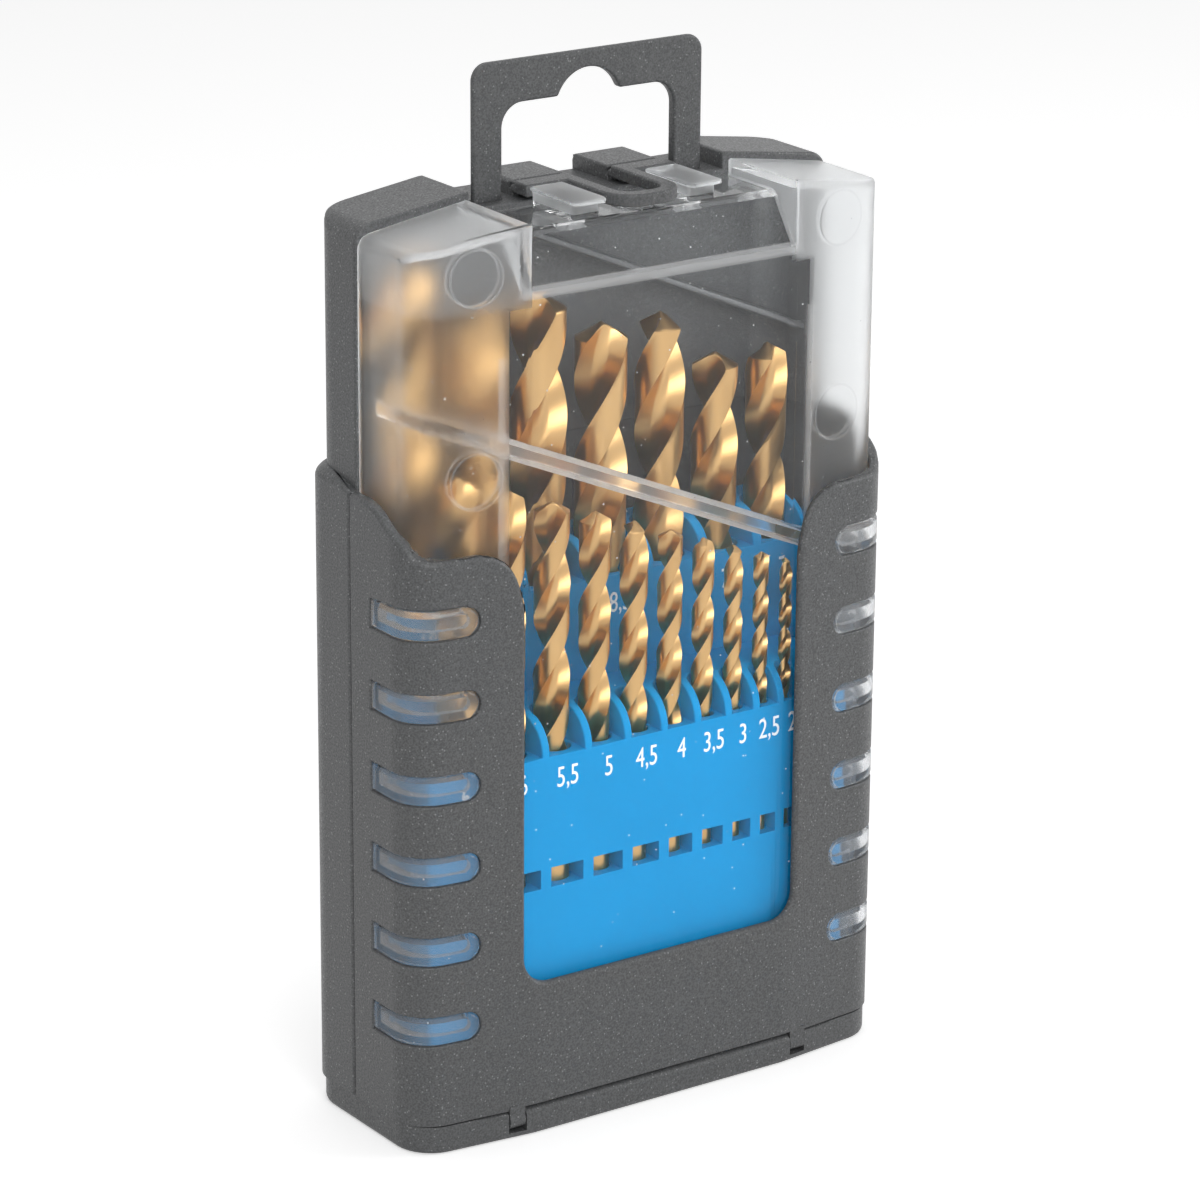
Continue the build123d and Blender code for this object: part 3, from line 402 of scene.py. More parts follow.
@dataclass(frozen=True)
class CoverPlastic:
    """Clear moulded plastic: see-through in the middle panel, finely frosted at the sides.

    Lengths are in mm.

    Attributes:
        tint: Colour of the plastic.
        milk: Colour of its haze.
        refraction: Index of refraction.
        shine: Strength of its reflections.
        clear_half_width: Half-width of the see-through middle.
        frost_foot: Height above which the sides are frosted.
        crown_half_width: Half-width of the see-through ledge at the top.
        crown_foot: Height above which the crown's shoulders are frosted.
        inside_y: Depth behind which a surface of the middle is the inner rib's.
        rib_top: Height below which the inner rib lies.
        clear_roughness: Roughness of the see-through part.
        frost_roughness: Roughness of the frosted part.
        frost_haze: Milkiness of the frosted part.
        crown_haze: Milkiness of the crown's shoulders.
        rib_haze: Milkiness of the inner rib.
        veil: Slight milkiness of the whole cover where it stands before the back.
        veil_heights: Heights where the veil starts and where it is full.
        ledge_heights: Lower and upper limit of the highlight painted under the top recess's lower edge.
        ledge_widths: Inner and outer limit of the recess's side walls.
        ledge_painted_highlight: Strength of the milky haze painted on the recess's lower edge and side walls
            as a highlight.
        tab_foot: Height above which the middle is frosted tabs.
        tab_haze: Milkiness of the tabs.
        bar_inner: Distance from the middle plane past which the low side bars lie.
        bar_haze: Milkiness of the side bars.
        bar_dulling: Share of the frosted roughness that the side bars have.
        disc_places: Centres of the round ejector marks in the front view, X and Z.
        disc_radius: Radius of an ejector mark.
        disc_polish: Share of the frosting that an ejector mark takes away.
        ring_width: Width of an ejector mark's rim.
        ring_haze: Milkiness of that rim.
        rib_half_width: Half-length of the inner rib in the front view.
        speck_spacing: Mean distance between dust specks.
        speck_radius: Radius of a speck.
    """

    tint: Colour = (0.955, 0.965, 0.97)
    milk: Colour = (0.80, 0.81, 0.82)
    refraction: float = 1.22
    shine: float = 0.2
    clear_half_width: float = 27.7
    frost_foot: float = 89.0
    crown_half_width: float = 24.0
    crown_foot: float = 131.5
    inside_y: float = -16.2
    rib_top: float = 125.0
    clear_roughness: float = 0.02
    frost_roughness: float = 0.50
    frost_haze: float = 0.012
    crown_haze: float = 0.10
    rib_haze: float = 0.30
    veil: float = 0.022
    veil_heights: tuple[float, float] = (60.0, 95.0)
    ledge_heights: tuple[float, float] = (133.5, 134.9)
    ledge_widths: tuple[float, float] = (24.2, 25.6)
    # Painted highlight on the recess's edges, laid on as milky haze.
    ledge_painted_highlight: float = 0.33
    tab_foot: float = 143.5
    tab_haze: float = 0.16
    bar_inner: float = 28.5
    bar_haze: float = 0.16
    bar_dulling: float = 0.45
    disc_places: tuple[tuple[float, float], ...] = ((33.3, 138.0), (33.3, 107.0))
    disc_radius: float = 4.4
    disc_polish: float = 0.45
    ring_width: float = 0.35
    ring_haze: float = 0.22
    rib_half_width: float = 29.0
    speck_spacing: float = 3.2
    speck_radius: float = 0.14

    def material(self) -> bpy.types.Material:
        """Make the material.

        Returns:
            The clear plastic.
        """
        sheet = ShaderSheet("clear_cover_plastic")
        split = sheet.node("ShaderNodeSeparateXYZ", Vector=sheet.place)
        across = sheet.math("ABSOLUTE", split.outputs["X"])
        depth, height = split.outputs["Y"], split.outputs["Z"]
        side = self._step(sheet, across, self.clear_half_width, 0.5)
        side = sheet.math("MULTIPLY", side, self._step(sheet, height, self.frost_foot, 1.0))
        crown = sheet.math(
            "MULTIPLY",
            self._step(sheet, across, self.crown_half_width + 0.1, 0.2),
            self._step(sheet, height, self.crown_foot, 2.0),
        )
        tabs = sheet.math(
            "MULTIPLY",
            sheet.math("LESS_THAN", across, self.crown_half_width * MM),
            self._step(sheet, height, self.tab_foot, 0.4),
        )
        frost = sheet.math("MAXIMUM", sheet.math("MAXIMUM", side, crown), tabs)
        rib = sheet.math("MULTIPLY", *self._rib_sides(sheet, across, depth, height))
        bars = sheet.math(
            "MULTIPLY",
            self._step(sheet, across, self.bar_inner, 0.4),
            sheet.math("LESS_THAN", height, self.frost_foot * MM),
        )
        rim, disc = self._discs(sheet, across, height, depth)
        grain = sheet.noise(1 / (0.2 * MM), 2.0)
        relief = sheet.math("MULTIPLY", grain, sheet.math("MAXIMUM", frost, rib))
        relief = sheet.math("ADD", relief, sheet.math("MULTIPLY", sheet.noise(70.0, 1.0), 0.5))
        relief = sheet.math("ADD", relief, sheet.math("MULTIPLY", rim, 2.5))
        normal = sheet.bump(relief, 0.3, 0.04 * MM)
        polished = sheet.math("MULTIPLY", disc, self.disc_polish)
        dulled = sheet.math("MAXIMUM", sheet.math("SUBTRACT", frost, polished), rib)
        dulled = sheet.math("MAXIMUM", dulled, sheet.math("MULTIPLY", bars, self.bar_dulling))
        body = sheet.node(
            "ShaderNodeBsdfPrincipled",
            Base_Color=(*self.tint, 1.0),
            Roughness=sheet.ramp(dulled, 0.0, 1.0, self.clear_roughness, self.frost_roughness),
            IOR=self.refraction,
            Normal=normal,
        )
        body.inputs["Transmission Weight"].default_value = 1.0
        body.inputs["Specular IOR Level"].default_value = self.shine
        white = sheet.node("ShaderNodeBsdfDiffuse", Color=(*self.milk, 1.0), Normal=normal)
        glow = sheet.node("ShaderNodeBsdfTranslucent", Color=(*self.milk, 1.0), Normal=normal)
        cloud = sheet.between(0.5, white.outputs[0], glow.outputs[0])
        haze = sheet.math("MULTIPLY", frost, self.frost_haze)
        haze = sheet.math("MULTIPLY", haze, sheet.ramp(grain, 0.3, 0.7, 0.6, 1.4))
        haze = sheet.math("MAXIMUM", haze, sheet.math("MULTIPLY", crown, self.crown_haze))
        haze = sheet.math("MAXIMUM", haze, sheet.math("MULTIPLY", tabs, self.tab_haze))
        haze = sheet.math("MAXIMUM", haze, sheet.math("MULTIPLY", bars, self.bar_haze))
        # Painted highlight: milky haze along the recess's lower edge and side walls.
        haze = sheet.math("MAXIMUM", haze, self._ledge_highlight(sheet, across, height))
        start, full = self.veil_heights
        haze = sheet.math("MAXIMUM", haze, sheet.ramp(height, start * MM, full * MM, 0.0, self.veil))
        haze = sheet.math("MAXIMUM", haze, sheet.math("MULTIPLY", rib, self.rib_haze))
        haze = sheet.math("ADD", haze, sheet.math("MULTIPLY", rim, self.ring_haze))
        specks = sheet.dots(self.speck_spacing, self.speck_radius)
        haze = sheet.math("MAXIMUM", haze, specks)
        mixed = sheet.between(haze, body.outputs[0], cloud)
        open_air = sheet.node("ShaderNodeBsdfTransparent", Color=(*self.tint, 1.0))
        shadow = sheet.node("ShaderNodeLightPath").outputs["Is Shadow Ray"]
        return sheet.finish(sheet.between(shadow, mixed, open_air.outputs[0]))

    def _step(self, sheet: ShaderSheet, value: Socket, limit: float, width: float) -> Socket:
        """Rise from zero to one at a limit.

        Args:
            sheet: Node tree to draw in.
            value: Length in metres.
            limit: Where the step starts, in mm.
            width: Width of the step, in mm.

        Returns:
            The step's socket.
        """
        return sheet.ramp(value, limit * MM, (limit + width) * MM)

    def _ledge_highlight(self, sheet: ShaderSheet, across: Socket, height: Socket) -> Socket:
        """Paint a highlight, as milky haze, on the edges of the recess at the top of the cover.

        Args:
            sheet: Node tree to draw in.
            across: Distance from the middle plane.
            height: Height above the standing face.

        Returns:
            The painted highlight's haze on the recess's lower edge and side walls.
        """
        low, high = self.ledge_heights
        inner, outer = self.ledge_widths
        above = self._step(sheet, height, low, 0.3)
        lower = sheet.math("SUBTRACT", above, self._step(sheet, height, high, 0.3))
        lower = sheet.math("MULTIPLY", lower, sheet.math("LESS_THAN", across, outer * MM))
        past_inner = self._step(sheet, across, inner, 0.2)
        past_outer = self._step(sheet, across, outer, 0.2)
        wall = sheet.math("MULTIPLY", sheet.math("SUBTRACT", past_inner, past_outer), above)
        return sheet.math("MULTIPLY", sheet.math("MAXIMUM", lower, wall), self.ledge_painted_highlight)

    def _rib_sides(
        self, sheet: ShaderSheet, across: Socket, depth: Socket, height: Socket
    ) -> tuple[Socket, Socket]:
        """Mark the inner rib that crosses the see-through middle.

        Args:
            sheet: Node tree to draw in.
            across: Distance from the middle plane.
            depth: Y of the point.
            height: Height above the standing face.

        Returns:
            Two masks whose product is one on the rib.
        """
        inside = self._step(sheet, depth, self.inside_y, 0.2)
        low = sheet.math("LESS_THAN", height, self.rib_top * MM)
        return sheet.math("MULTIPLY", inside, low), sheet.math("LESS_THAN", across, self.rib_half_width * MM)

    def _discs(
        self, sheet: ShaderSheet, across: Socket, height: Socket, depth: Socket
    ) -> tuple[Socket, Socket]:
        """Draw the ejector marks on the front.

        Args:
            sheet: Node tree to draw in.
            across: Distance from the middle plane.
            height: Height above the standing face.
            depth: Y of the point.

        Returns:
            The rim of each mark, and its whole disc.
        """
        rim: Socket | float = 0.0
        disc: Socket | float = 0.0
        front = sheet.ramp(depth, -13.0 * MM, -12.0 * MM, 1.0, 0.0)
        for x, z in self.disc_places:
            dx = sheet.math("SUBTRACT", across, x * MM)
            dz = sheet.math("SUBTRACT", height, z * MM)
            square = sheet.math("ADD", sheet.math("MULTIPLY", dx, dx), sheet.math("MULTIPLY", dz, dz))
            away = sheet.math("SQRT", square)
            outer = self._step(sheet, away, self.disc_radius, 0.2)
            inner = self._step(sheet, away, self.disc_radius - self.ring_width, 0.2)
            ring = sheet.math("MULTIPLY", sheet.math("SUBTRACT", inner, outer), front)
            rim = sheet.math("ADD", rim, ring)
            whole = sheet.math("MULTIPLY", sheet.math("SUBTRACT", 1.0, outer), front)
            disc = sheet.math("ADD", disc, whole)
        return rim, disc


@dataclass(frozen=True)
class PrintInk:
    """White ink of the size numbers.

    Attributes:
        base: Colour of the ink.
    """

    base: Colour = (0.86, 0.88, 0.90)

    def material(self) -> bpy.types.Material:
        """Make the material.

        Returns:
            The ink.
        """
        sheet = ShaderSheet("number_ink")
        wear = sheet.ramp(sheet.noise(1 / (0.3 * MM), 2.0), 0.3, 0.6)
        thin = tuple(part * 0.86 for part in self.base)
        shader = sheet.node(
            "ShaderNodeBsdfPrincipled", Base_Color=sheet.blend(wear, thin, self.base), Roughness=0.45
        )
        return sheet.finish(shader.outputs[0])


# ---------------------------------------------------------------------------
# Mesh helpers
# ---------------------------------------------------------------------------


def new_piece(name: str, mesh: bpy.types.Mesh) -> bpy.types.Object:
    """Make an object at the origin from a mesh.

    Args:
        name: Name of the piece.
        mesh: Its mesh, already in place.

    Returns:
        The new object, linked to the scene.
    """
    made = bpy.data.objects.new(name, mesh)
    bpy.context.scene.collection.objects.link(made)
    return made


def baked_mesh(source: bpy.types.Object) -> bpy.types.Mesh:
    """Turn a live object into a plain mesh and remove the object.

    Args:
        source: Object with modifiers, or a text object.

    Returns:
        The evaluated mesh.
    """
    bpy.context.view_layer.update()
    graph = bpy.context.evaluated_depsgraph_get()
    mesh = bpy.data.meshes.new_from_object(source.evaluated_get(graph))
    bpy.data.objects.remove(source)
    return mesh


def tidy_normals(mesh: bpy.types.Mesh, sharp_angle: float) -> None:
    """Turn the faces outwards, shade them smooth and mark sharp edges.

    Args:
        mesh: Mesh to tidy.
        sharp_angle: Edges folded by more than this, in degrees, stay sharp.
    """
    shape = bmesh.new()
    shape.from_mesh(mesh)
    bmesh.ops.remove_doubles(shape, verts=shape.verts, dist=1e-7)
    bmesh.ops.recalc_face_normals(shape, faces=shape.faces)
    for face in shape.faces:
        face.smooth = True
    for edge in shape.edges:
        edge.smooth = edge.is_manifold and edge.calc_face_angle(0.0) < math.radians(sharp_angle)
    shape.to_mesh(mesh)
    shape.free()


@dataclass(frozen=True)
class Edging:
    """How the edges of one moulding are rounded. Lengths are in mm.

    Attributes:
        outer: Width of the rounding on edges of an outward face.
        other: Width of the rounding on the remaining edges.
        fine: Width of the rounding inside the fine boxes.
        fine_boxes: Lowest and highest corners of places with finer edges.
        sharp_boxes: Lowest and highest corners of places whose edges stay sharp.
        steps: Facets across a rounding.
    """

    outer: float = 0.45
    other: float = 0.45
    fine: float = 0.3
    fine_boxes: tuple[tuple[Colour, Colour], ...] = ()
    sharp_boxes: tuple[tuple[Colour, Colour], ...] = ()
    steps: int = 3

    def width(self, edge: bmesh.types.BMEdge) -> float:
        """Choose the rounding of an edge.

        Args:
            edge: Edge of the merged mesh.

        Returns:
            The width in mm, or zero where the edge stays as it is.
        """
        if not (edge.is_manifold and edge.is_convex and edge.calc_face_angle(0.0) > math.radians(30.0)):
            return 0.0
        middle = (edge.verts[0].co + edge.verts[1].co) / 2 / MM
        if any(self._holds(box, middle) for box in self.sharp_boxes):
            return 0.0
        if any(self._holds(box, middle) for box in self.fine_boxes):
            return self.fine
        faces_out = any(
            face.calc_center_median().xy.dot(face.normal.xy) > 8.0 * MM for face in edge.link_faces
        )
        return self.outer if faces_out else self.other

    @staticmethod
    def _holds(box: tuple[Colour, Colour], spot: Vector) -> bool:
        """Say whether a box holds a point; the box is mirrored to both sides of the case."""
        low, high = box
        place = (abs(spot.x), spot.y, spot.z)
        return all(bottom <= value <= top for bottom, value, top in zip(low, place, high))


def rounded_piece(node: bpy.types.Object, name: str, edging: Edging) -> bpy.types.Object:
    """Copy a CAD node's shape and round its edges.

    Args:
        node: The CAD node's object.
        name: Name of the new piece.
        edging: Where and how far the edges are rounded.

    Returns:
        The new piece, at the origin, with smooth normals.
    """
    shape = bmesh.new()
    shape.from_mesh(node.data)
    bmesh.ops.remove_doubles(shape, verts=shape.verts, dist=2e-6)
    bmesh.ops.dissolve_limit(
        shape, angle_limit=math.radians(0.3), verts=shape.verts, edges=shape.edges,
    )
    shape.normal_update()
    for width in sorted({edging.outer, edging.other, edging.fine} - {0.0}, reverse=True):
        picked = [edge for edge in shape.edges if edging.width(edge) == width]
        bmesh.ops.bevel(
            shape, geom=picked, offset=width * MM, offset_type="OFFSET", segments=edging.steps,
            profile=0.5, affect="EDGES", clamp_overlap=False, loop_slide=True,
        )
        shape.normal_update()
    bmesh.ops.remove_doubles(shape, verts=shape.verts, dist=2e-6)
    shape.normal_update()
    for face in shape.faces:
        face.smooth = True
    for edge in shape.edges:
        limit = math.radians(OUTER_CORNER if edge.is_convex else INNER_CORNER)
        edge.smooth = edge.is_manifold and edge.calc_face_angle(0.0) < limit
    mesh = bpy.data.meshes.new(name)
    shape.to_mesh(mesh)
    shape.free()
    live = new_piece(f"live_{name}", mesh)
    even = live.modifiers.new("even_normals", "WEIGHTED_NORMAL")
    even.keep_sharp = True
    even.weight = 100
    finished = baked_mesh(live)
    bpy.data.meshes.remove(mesh)
    finished.name = name
    return new_piece(name, finished)


def dress(node: bpy.types.Object, material: bpy.types.Material) -> None:
    """Give a CAD node one material.

    Args:
        node: The CAD node's object.
        material: Its new material.
    """
    if not node.material_slots:
        node.data.materials.append(material)
    for place in node.material_slots:
        place.material = material


# ---------------------------------------------------------------------------
# Sub-assemblies
# ---------------------------------------------------------------------------


@dataclass(frozen=True)
class Moulding:
    """One moulded piece that stands for a CAD node.

    Attributes:
        name: Name of the finished piece.
        node: CAD node that it replaces.
        body: Body that it rides on.
        slot: Material slot of the record; not used.
        edging: How its edges are rounded.
    """

    name: str
    node: str
    body: str
    slot: str
    edging: Edging = Edging()

    def build(self, nodes: dict[str, bpy.types.Object], material: bpy.types.Material) -> str:
        """Make the piece in the place of its node.

        Args:
            nodes: The CAD nodes by name.
            material: Its finish.

        Returns:
            The name of the piece.
        """
        piece = rounded_piece(nodes[self.node], self.name, self.edging)
        piece.data.materials.clear()
        piece.data.materials.append(material)
        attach(piece, self.body)
        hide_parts(self.node)
        return piece.name


@dataclass
class MouldedCase:
    """The grey case: back shell, base, grip, hanger, latch loop and hinge pins."""

    nodes: dict[str, bpy.types.Object]
    plastic: SpeckledGlintPlastic = field(default_factory=SpeckledGlintPlastic)
    steel: DrawnSteel = field(default_factory=DrawnSteel)
    back: Moulding = Moulding(
        "case_back", "back_shell", "shell", "case_grey",
        Edging(outer=0.6, other=0.3, sharp_boxes=(((0, -25, -1), (50, 25, 6)),)),
    )
    tray: Moulding = Moulding(
        "case_tray", "base", "shell", "case_grey",
        Edging(outer=0.4, other=0.3, sharp_boxes=(((0, -25, 1.2), (50, 25, 12)),)),
    )
    jacket: Moulding = Moulding(
        "lid_jacket", "lid_grip", "lid", "case_grey",
        Edging(
            outer=0.85, other=0.0, fine=0.3, steps=4,
            fine_boxes=(((29.5, -25, 5), (50, 5, 88)),),
            sharp_boxes=(((0, -25, -1), (50, 5, 5.5)),),
        ),
    )
    handle: Moulding = Moulding(
        "hang_tab", "hanger", "hanger", "case_grey", Edging(outer=0.45, other=0.45)
    )
    loop: Moulding = Moulding(
        "catch_loop", "latch_loop", "latch", "case_grey", Edging(outer=0.4, other=0.4)
    )
    steel_parts: tuple[str, ...] = ("hinge_pin_left", "hinge_pin_right")

    def build(self) -> list[str]:
        """Make and dress the case's pieces.

        Returns:
            The names of the pieces.
        """
        grey = self.plastic.material()
        wire = self.steel.material()
        for name in self.steel_parts:
            dress(self.nodes[name], wire)
        mouldings = (self.back, self.tray, self.jacket, self.handle, self.loop)
        return [*self.steel_parts, *(part.build(self.nodes, grey) for part in mouldings)]


@dataclass
class ClearLid:
    """The clear front cover."""

    nodes: dict[str, bpy.types.Object]
    plastic: CoverPlastic = field(default_factory=CoverPlastic)
    cover: Moulding = Moulding(
        "clear_cover", "lid", "lid", "clear_plastic", Edging(outer=0.6, other=0.45)
    )

    def build(self) -> list[str]:
        """Make and dress the lid.

        Returns:
            The names of the pieces.
        """
        return [self.cover.build(self.nodes, self.plastic.material())]


@dataclass(frozen=True)
class BitSize:
    """One drill bit's standard size.

    Attributes:
        diameter: Diameter in mm.
        flute: Length of its flutes in mm.
    """

    diameter: float
    flute: float

    @property
    def node(self) -> str:
        """Name of the CAD node of this bit."""
        return f"drill_bit_{self.diameter:.1f}".replace(".", "_")

    @property
    def label(self) -> str:
        """Number printed for this bit, with a decimal comma."""
        return f"{self.diameter:g}".replace(".", ",")


@dataclass
class TwistDrills:
    """The twist drill bits, made by one node tree that turns a fluted section along its axis."""

    sizes: tuple[BitSize, ...]
    coating: GoldCoating = field(default_factory=GoldCoating)
    rings: int = 230
    spokes: int = 72
    helix_angle: float = 30.0
    point_angle: float = 118.0
    flute_centre: float = 1.012
    flute_radius: float = 0.82
    margin_start: float = 0.84
    margin_width: float = 0.20
    body_clearance: float = 0.035
    shank_chamfer: float = 0.3 * MM
    tip_crowding: float = 1.6
    phase_step: float = 0.9

    def build(self) -> list[str]:
        """Make each bit in the place of its CAD node.

        Returns:
            The names of the new pieces.
        """
        gold = self.coating.material()
        tree = self._tree()
        made = []
        for order, size in enumerate(self.sizes):
            low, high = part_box(size.node)
            foot = Vector(((low[0] + high[0]) / 2, (low[1] + high[1]) / 2, low[2]))
            values = {
                "Radius": size.diameter / 2 * MM,
                "Length": high[2] - low[2],
                "Flute Length": size.flute * MM,
                "Lead": math.pi * size.diameter * MM / math.tan(math.radians(self.helix_angle)),
                "Phase": self.phase_step * order,
                "Foot": foot,
                "Material": gold,
            }
            made.append(self._bit(tree, size, values))
        bpy.data.node_groups.remove(tree)
        return made

    def _bit(self, tree: bpy.types.NodeTree, size: BitSize, values: dict[str, object]) -> str:
        """Run the tree for one bit.

        Args:
            tree: The node tree.
            size: The bit's size.
            values: Value of each named input.

        Returns:
            The new piece's name.
        """
        live = new_piece("live_bit", bpy.data.meshes.new("live_bit"))
        spin = live.modifiers.new("twist", "NODES")
        spin.node_group = tree
        for item in tree.interface.items_tree:
            if item.item_type == "SOCKET" and item.in_out == "INPUT" and item.name in values:
                spin[item.identifier] = values[item.name]
        mesh = baked_mesh(live)
        mesh.name = f"gold_bit_{size.node[10:]}"
        tidy_normals(mesh, BIT_CORNER)
        piece = new_piece(mesh.name, mesh)
        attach(piece, "holder")
        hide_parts(size.node)
        return piece.name

    def _tree(self) -> bpy.types.NodeTree:
        """Build the node tree of a twist drill.

        Returns:
            The geometry node tree.
        """
        sheet = ShapeSheet(
            "twist_drill",
            {
                "Radius": "NodeSocketFloat",
                "Length": "NodeSocketFloat",
                "Flute Length": "NodeSocketFloat",
                "Lead": "NodeSocketFloat",
                "Phase": "NodeSocketFloat",
                "Foot": "NodeSocketVector",
                "Material": "NodeSocketMaterial",
            },
        )
        grid = sheet.node("GeometryNodeMeshGrid", Size_X=1.0, Size_Y=1.0)
        grid.inputs["Vertices X"].default_value = self.rings
        grid.inputs["Vertices Y"].default_value = self.spokes + 1
        position = sheet.node("GeometryNodeInputPosition").outputs[0]
        spot = sheet.node("ShaderNodeSeparateXYZ", Vector=position)
        ring = 1.0 / (self.rings - 1)
        along = sheet.math("ADD", spot.outputs["X"], 0.5)
        rest = sheet.math("SUBTRACT", 1.0, along)
        run = sheet.math("MINIMUM", 1.0, sheet.math("DIVIDE", rest, 1.0 - ring))
        run = sheet.math("SUBTRACT", 1.0, sheet.math("POWER", run, self.tip_crowding))
        height = sheet.math("MULTIPLY", run, sheet.given["Length"])
        spoke = sheet.math("MULTIPLY", sheet.math("ADD", spot.outputs["Y"], 0.5), math.tau)
        flute_start = sheet.math("SUBTRACT", sheet.given["Length"], sheet.given["Flute Length"])
        beyond = sheet.math("MAXIMUM", 0.0, sheet.math("SUBTRACT", height, flute_start))
        turn = sheet.math("DIVIDE", sheet.math("MULTIPLY", beyond, math.tau), sheet.given["Lead"])
        angle = sheet.math("ADD", spoke, sheet.math("ADD", turn, sheet.given["Phase"]))
        section = self._section(sheet, sheet.math("WRAP", spoke, math.pi / 2, -math.pi / 2))
        depth = sheet.math("DIVIDE", beyond, sheet.math("MULTIPLY", sheet.given["Radius"], 2.0))
        depth = sheet.math("MINIMUM", 1.0, depth)
        hollow = sheet.math("MULTIPLY", depth, sheet.math("SUBTRACT", 1.0, section))
        section = sheet.math("SUBTRACT", 1.0, hollow)
        radius = sheet.math("MULTIPLY", section, sheet.given["Radius"])
        left = sheet.math("SUBTRACT", sheet.given["Length"], height)
        cone = sheet.math("MULTIPLY", left, math.tan(math.radians(self.point_angle / 2)))
        radius = sheet.math("MINIMUM", radius, cone)
        foot_radius = sheet.math("SUBTRACT", sheet.given["Radius"], self.shank_chamfer)
        heel = sheet.math("ADD", height, foot_radius)
        radius = sheet.math("MINIMUM", radius, heel)
        closed = sheet.math("GREATER_THAN", along, ring / 2)
        radius = sheet.math("MULTIPLY", radius, closed)
        point = sheet.node(
            "ShaderNodeCombineXYZ",
            X=sheet.math("MULTIPLY", radius, sheet.math("COSINE", angle)),
            Y=sheet.math("MULTIPLY", radius, sheet.math("SINE", angle)),
            Z=height,
        )
        placed = sheet.node("ShaderNodeVectorMath", operation="ADD")
        sheet.feed(placed.inputs[0], point.outputs[0])
        sheet.feed(placed.inputs[1], sheet.given["Foot"])
        moved = sheet.node(
            "GeometryNodeSetPosition", Geometry=grid.outputs["Mesh"], Position=placed.outputs[0]
        )
        merged = sheet.node("GeometryNodeMergeByDistance", Geometry=moved.outputs[0], Distance=1e-6)
        real = sheet.node("GeometryNodeRealizeInstances", Geometry=merged.outputs[0])
        painted = sheet.node(
            "GeometryNodeSetMaterial", Geometry=real.outputs[0], Material=sheet.given["Material"]
        )
        return sheet.finish(painted.outputs[0])

    def _section(self, sheet: "ShapeSheet", local: Socket) -> Socket:
        """Radius of the fluted section, as a share of the bit's radius.

        Args:
            sheet: Tree to draw in.
            local: Angle from the nearer flute's middle.

        Returns:
            The section's radius socket.
        """
        sine = sheet.math("MULTIPLY", sheet.math("SINE", local), self.flute_centre)
        cosine = sheet.math("MULTIPLY", sheet.math("COSINE", local), self.flute_centre)
        square = sheet.math("SUBTRACT", self.flute_radius**2, sheet.math("MULTIPLY", sine, sine))
        reach = sheet.math("SUBTRACT", cosine, sheet.math("SQRT", sheet.math("MAXIMUM", square, 0.0)))
        missed = sheet.math("LESS_THAN", square, 0.0)
        reach = sheet.math("ADD", reach, missed)
        past = sheet.math("SUBTRACT", local, self.margin_start + self.margin_width)
        after = sheet.math("GREATER_THAN", past, 0.0)
        lowered = sheet.math("MAXIMUM", after, sheet.math("LESS_THAN", local, 0.0))
        land = sheet.math("SUBTRACT", 1.0, sheet.math("MULTIPLY", lowered, self.body_clearance))
        return sheet.math("MINIMUM", land, reach)


class ShapeSheet(ShaderSheet):
    """Small builder for one geometry node tree with named inputs."""

    def __init__(self, name: str, inputs: dict[str, str]) -> None:
        """Start an empty tree.

        Args:
            name: Name of the tree.
            inputs: Socket type of each named input.
        """
        self.tree = bpy.data.node_groups.new(name, "GeometryNodeTree")
        self.tree.interface.new_socket("Geometry", in_out="INPUT", socket_type="NodeSocketGeometry")
        for label, kind in inputs.items():
            self.tree.interface.new_socket(label, in_out="INPUT", socket_type=kind)
        self.tree.interface.new_socket("Geometry", in_out="OUTPUT", socket_type="NodeSocketGeometry")
        self.given = self.tree.nodes.new("NodeGroupInput").outputs
        self.output = self.tree.nodes.new("NodeGroupOutput")

    def finish(self, surface: Socket) -> bpy.types.NodeTree:
        """Link the geometry to the output.

        Args:
            surface: Geometry socket.

        Returns:
            The finished tree.
        """
        self.tree.links.new(surface, self.output.inputs[0])
        return self.tree


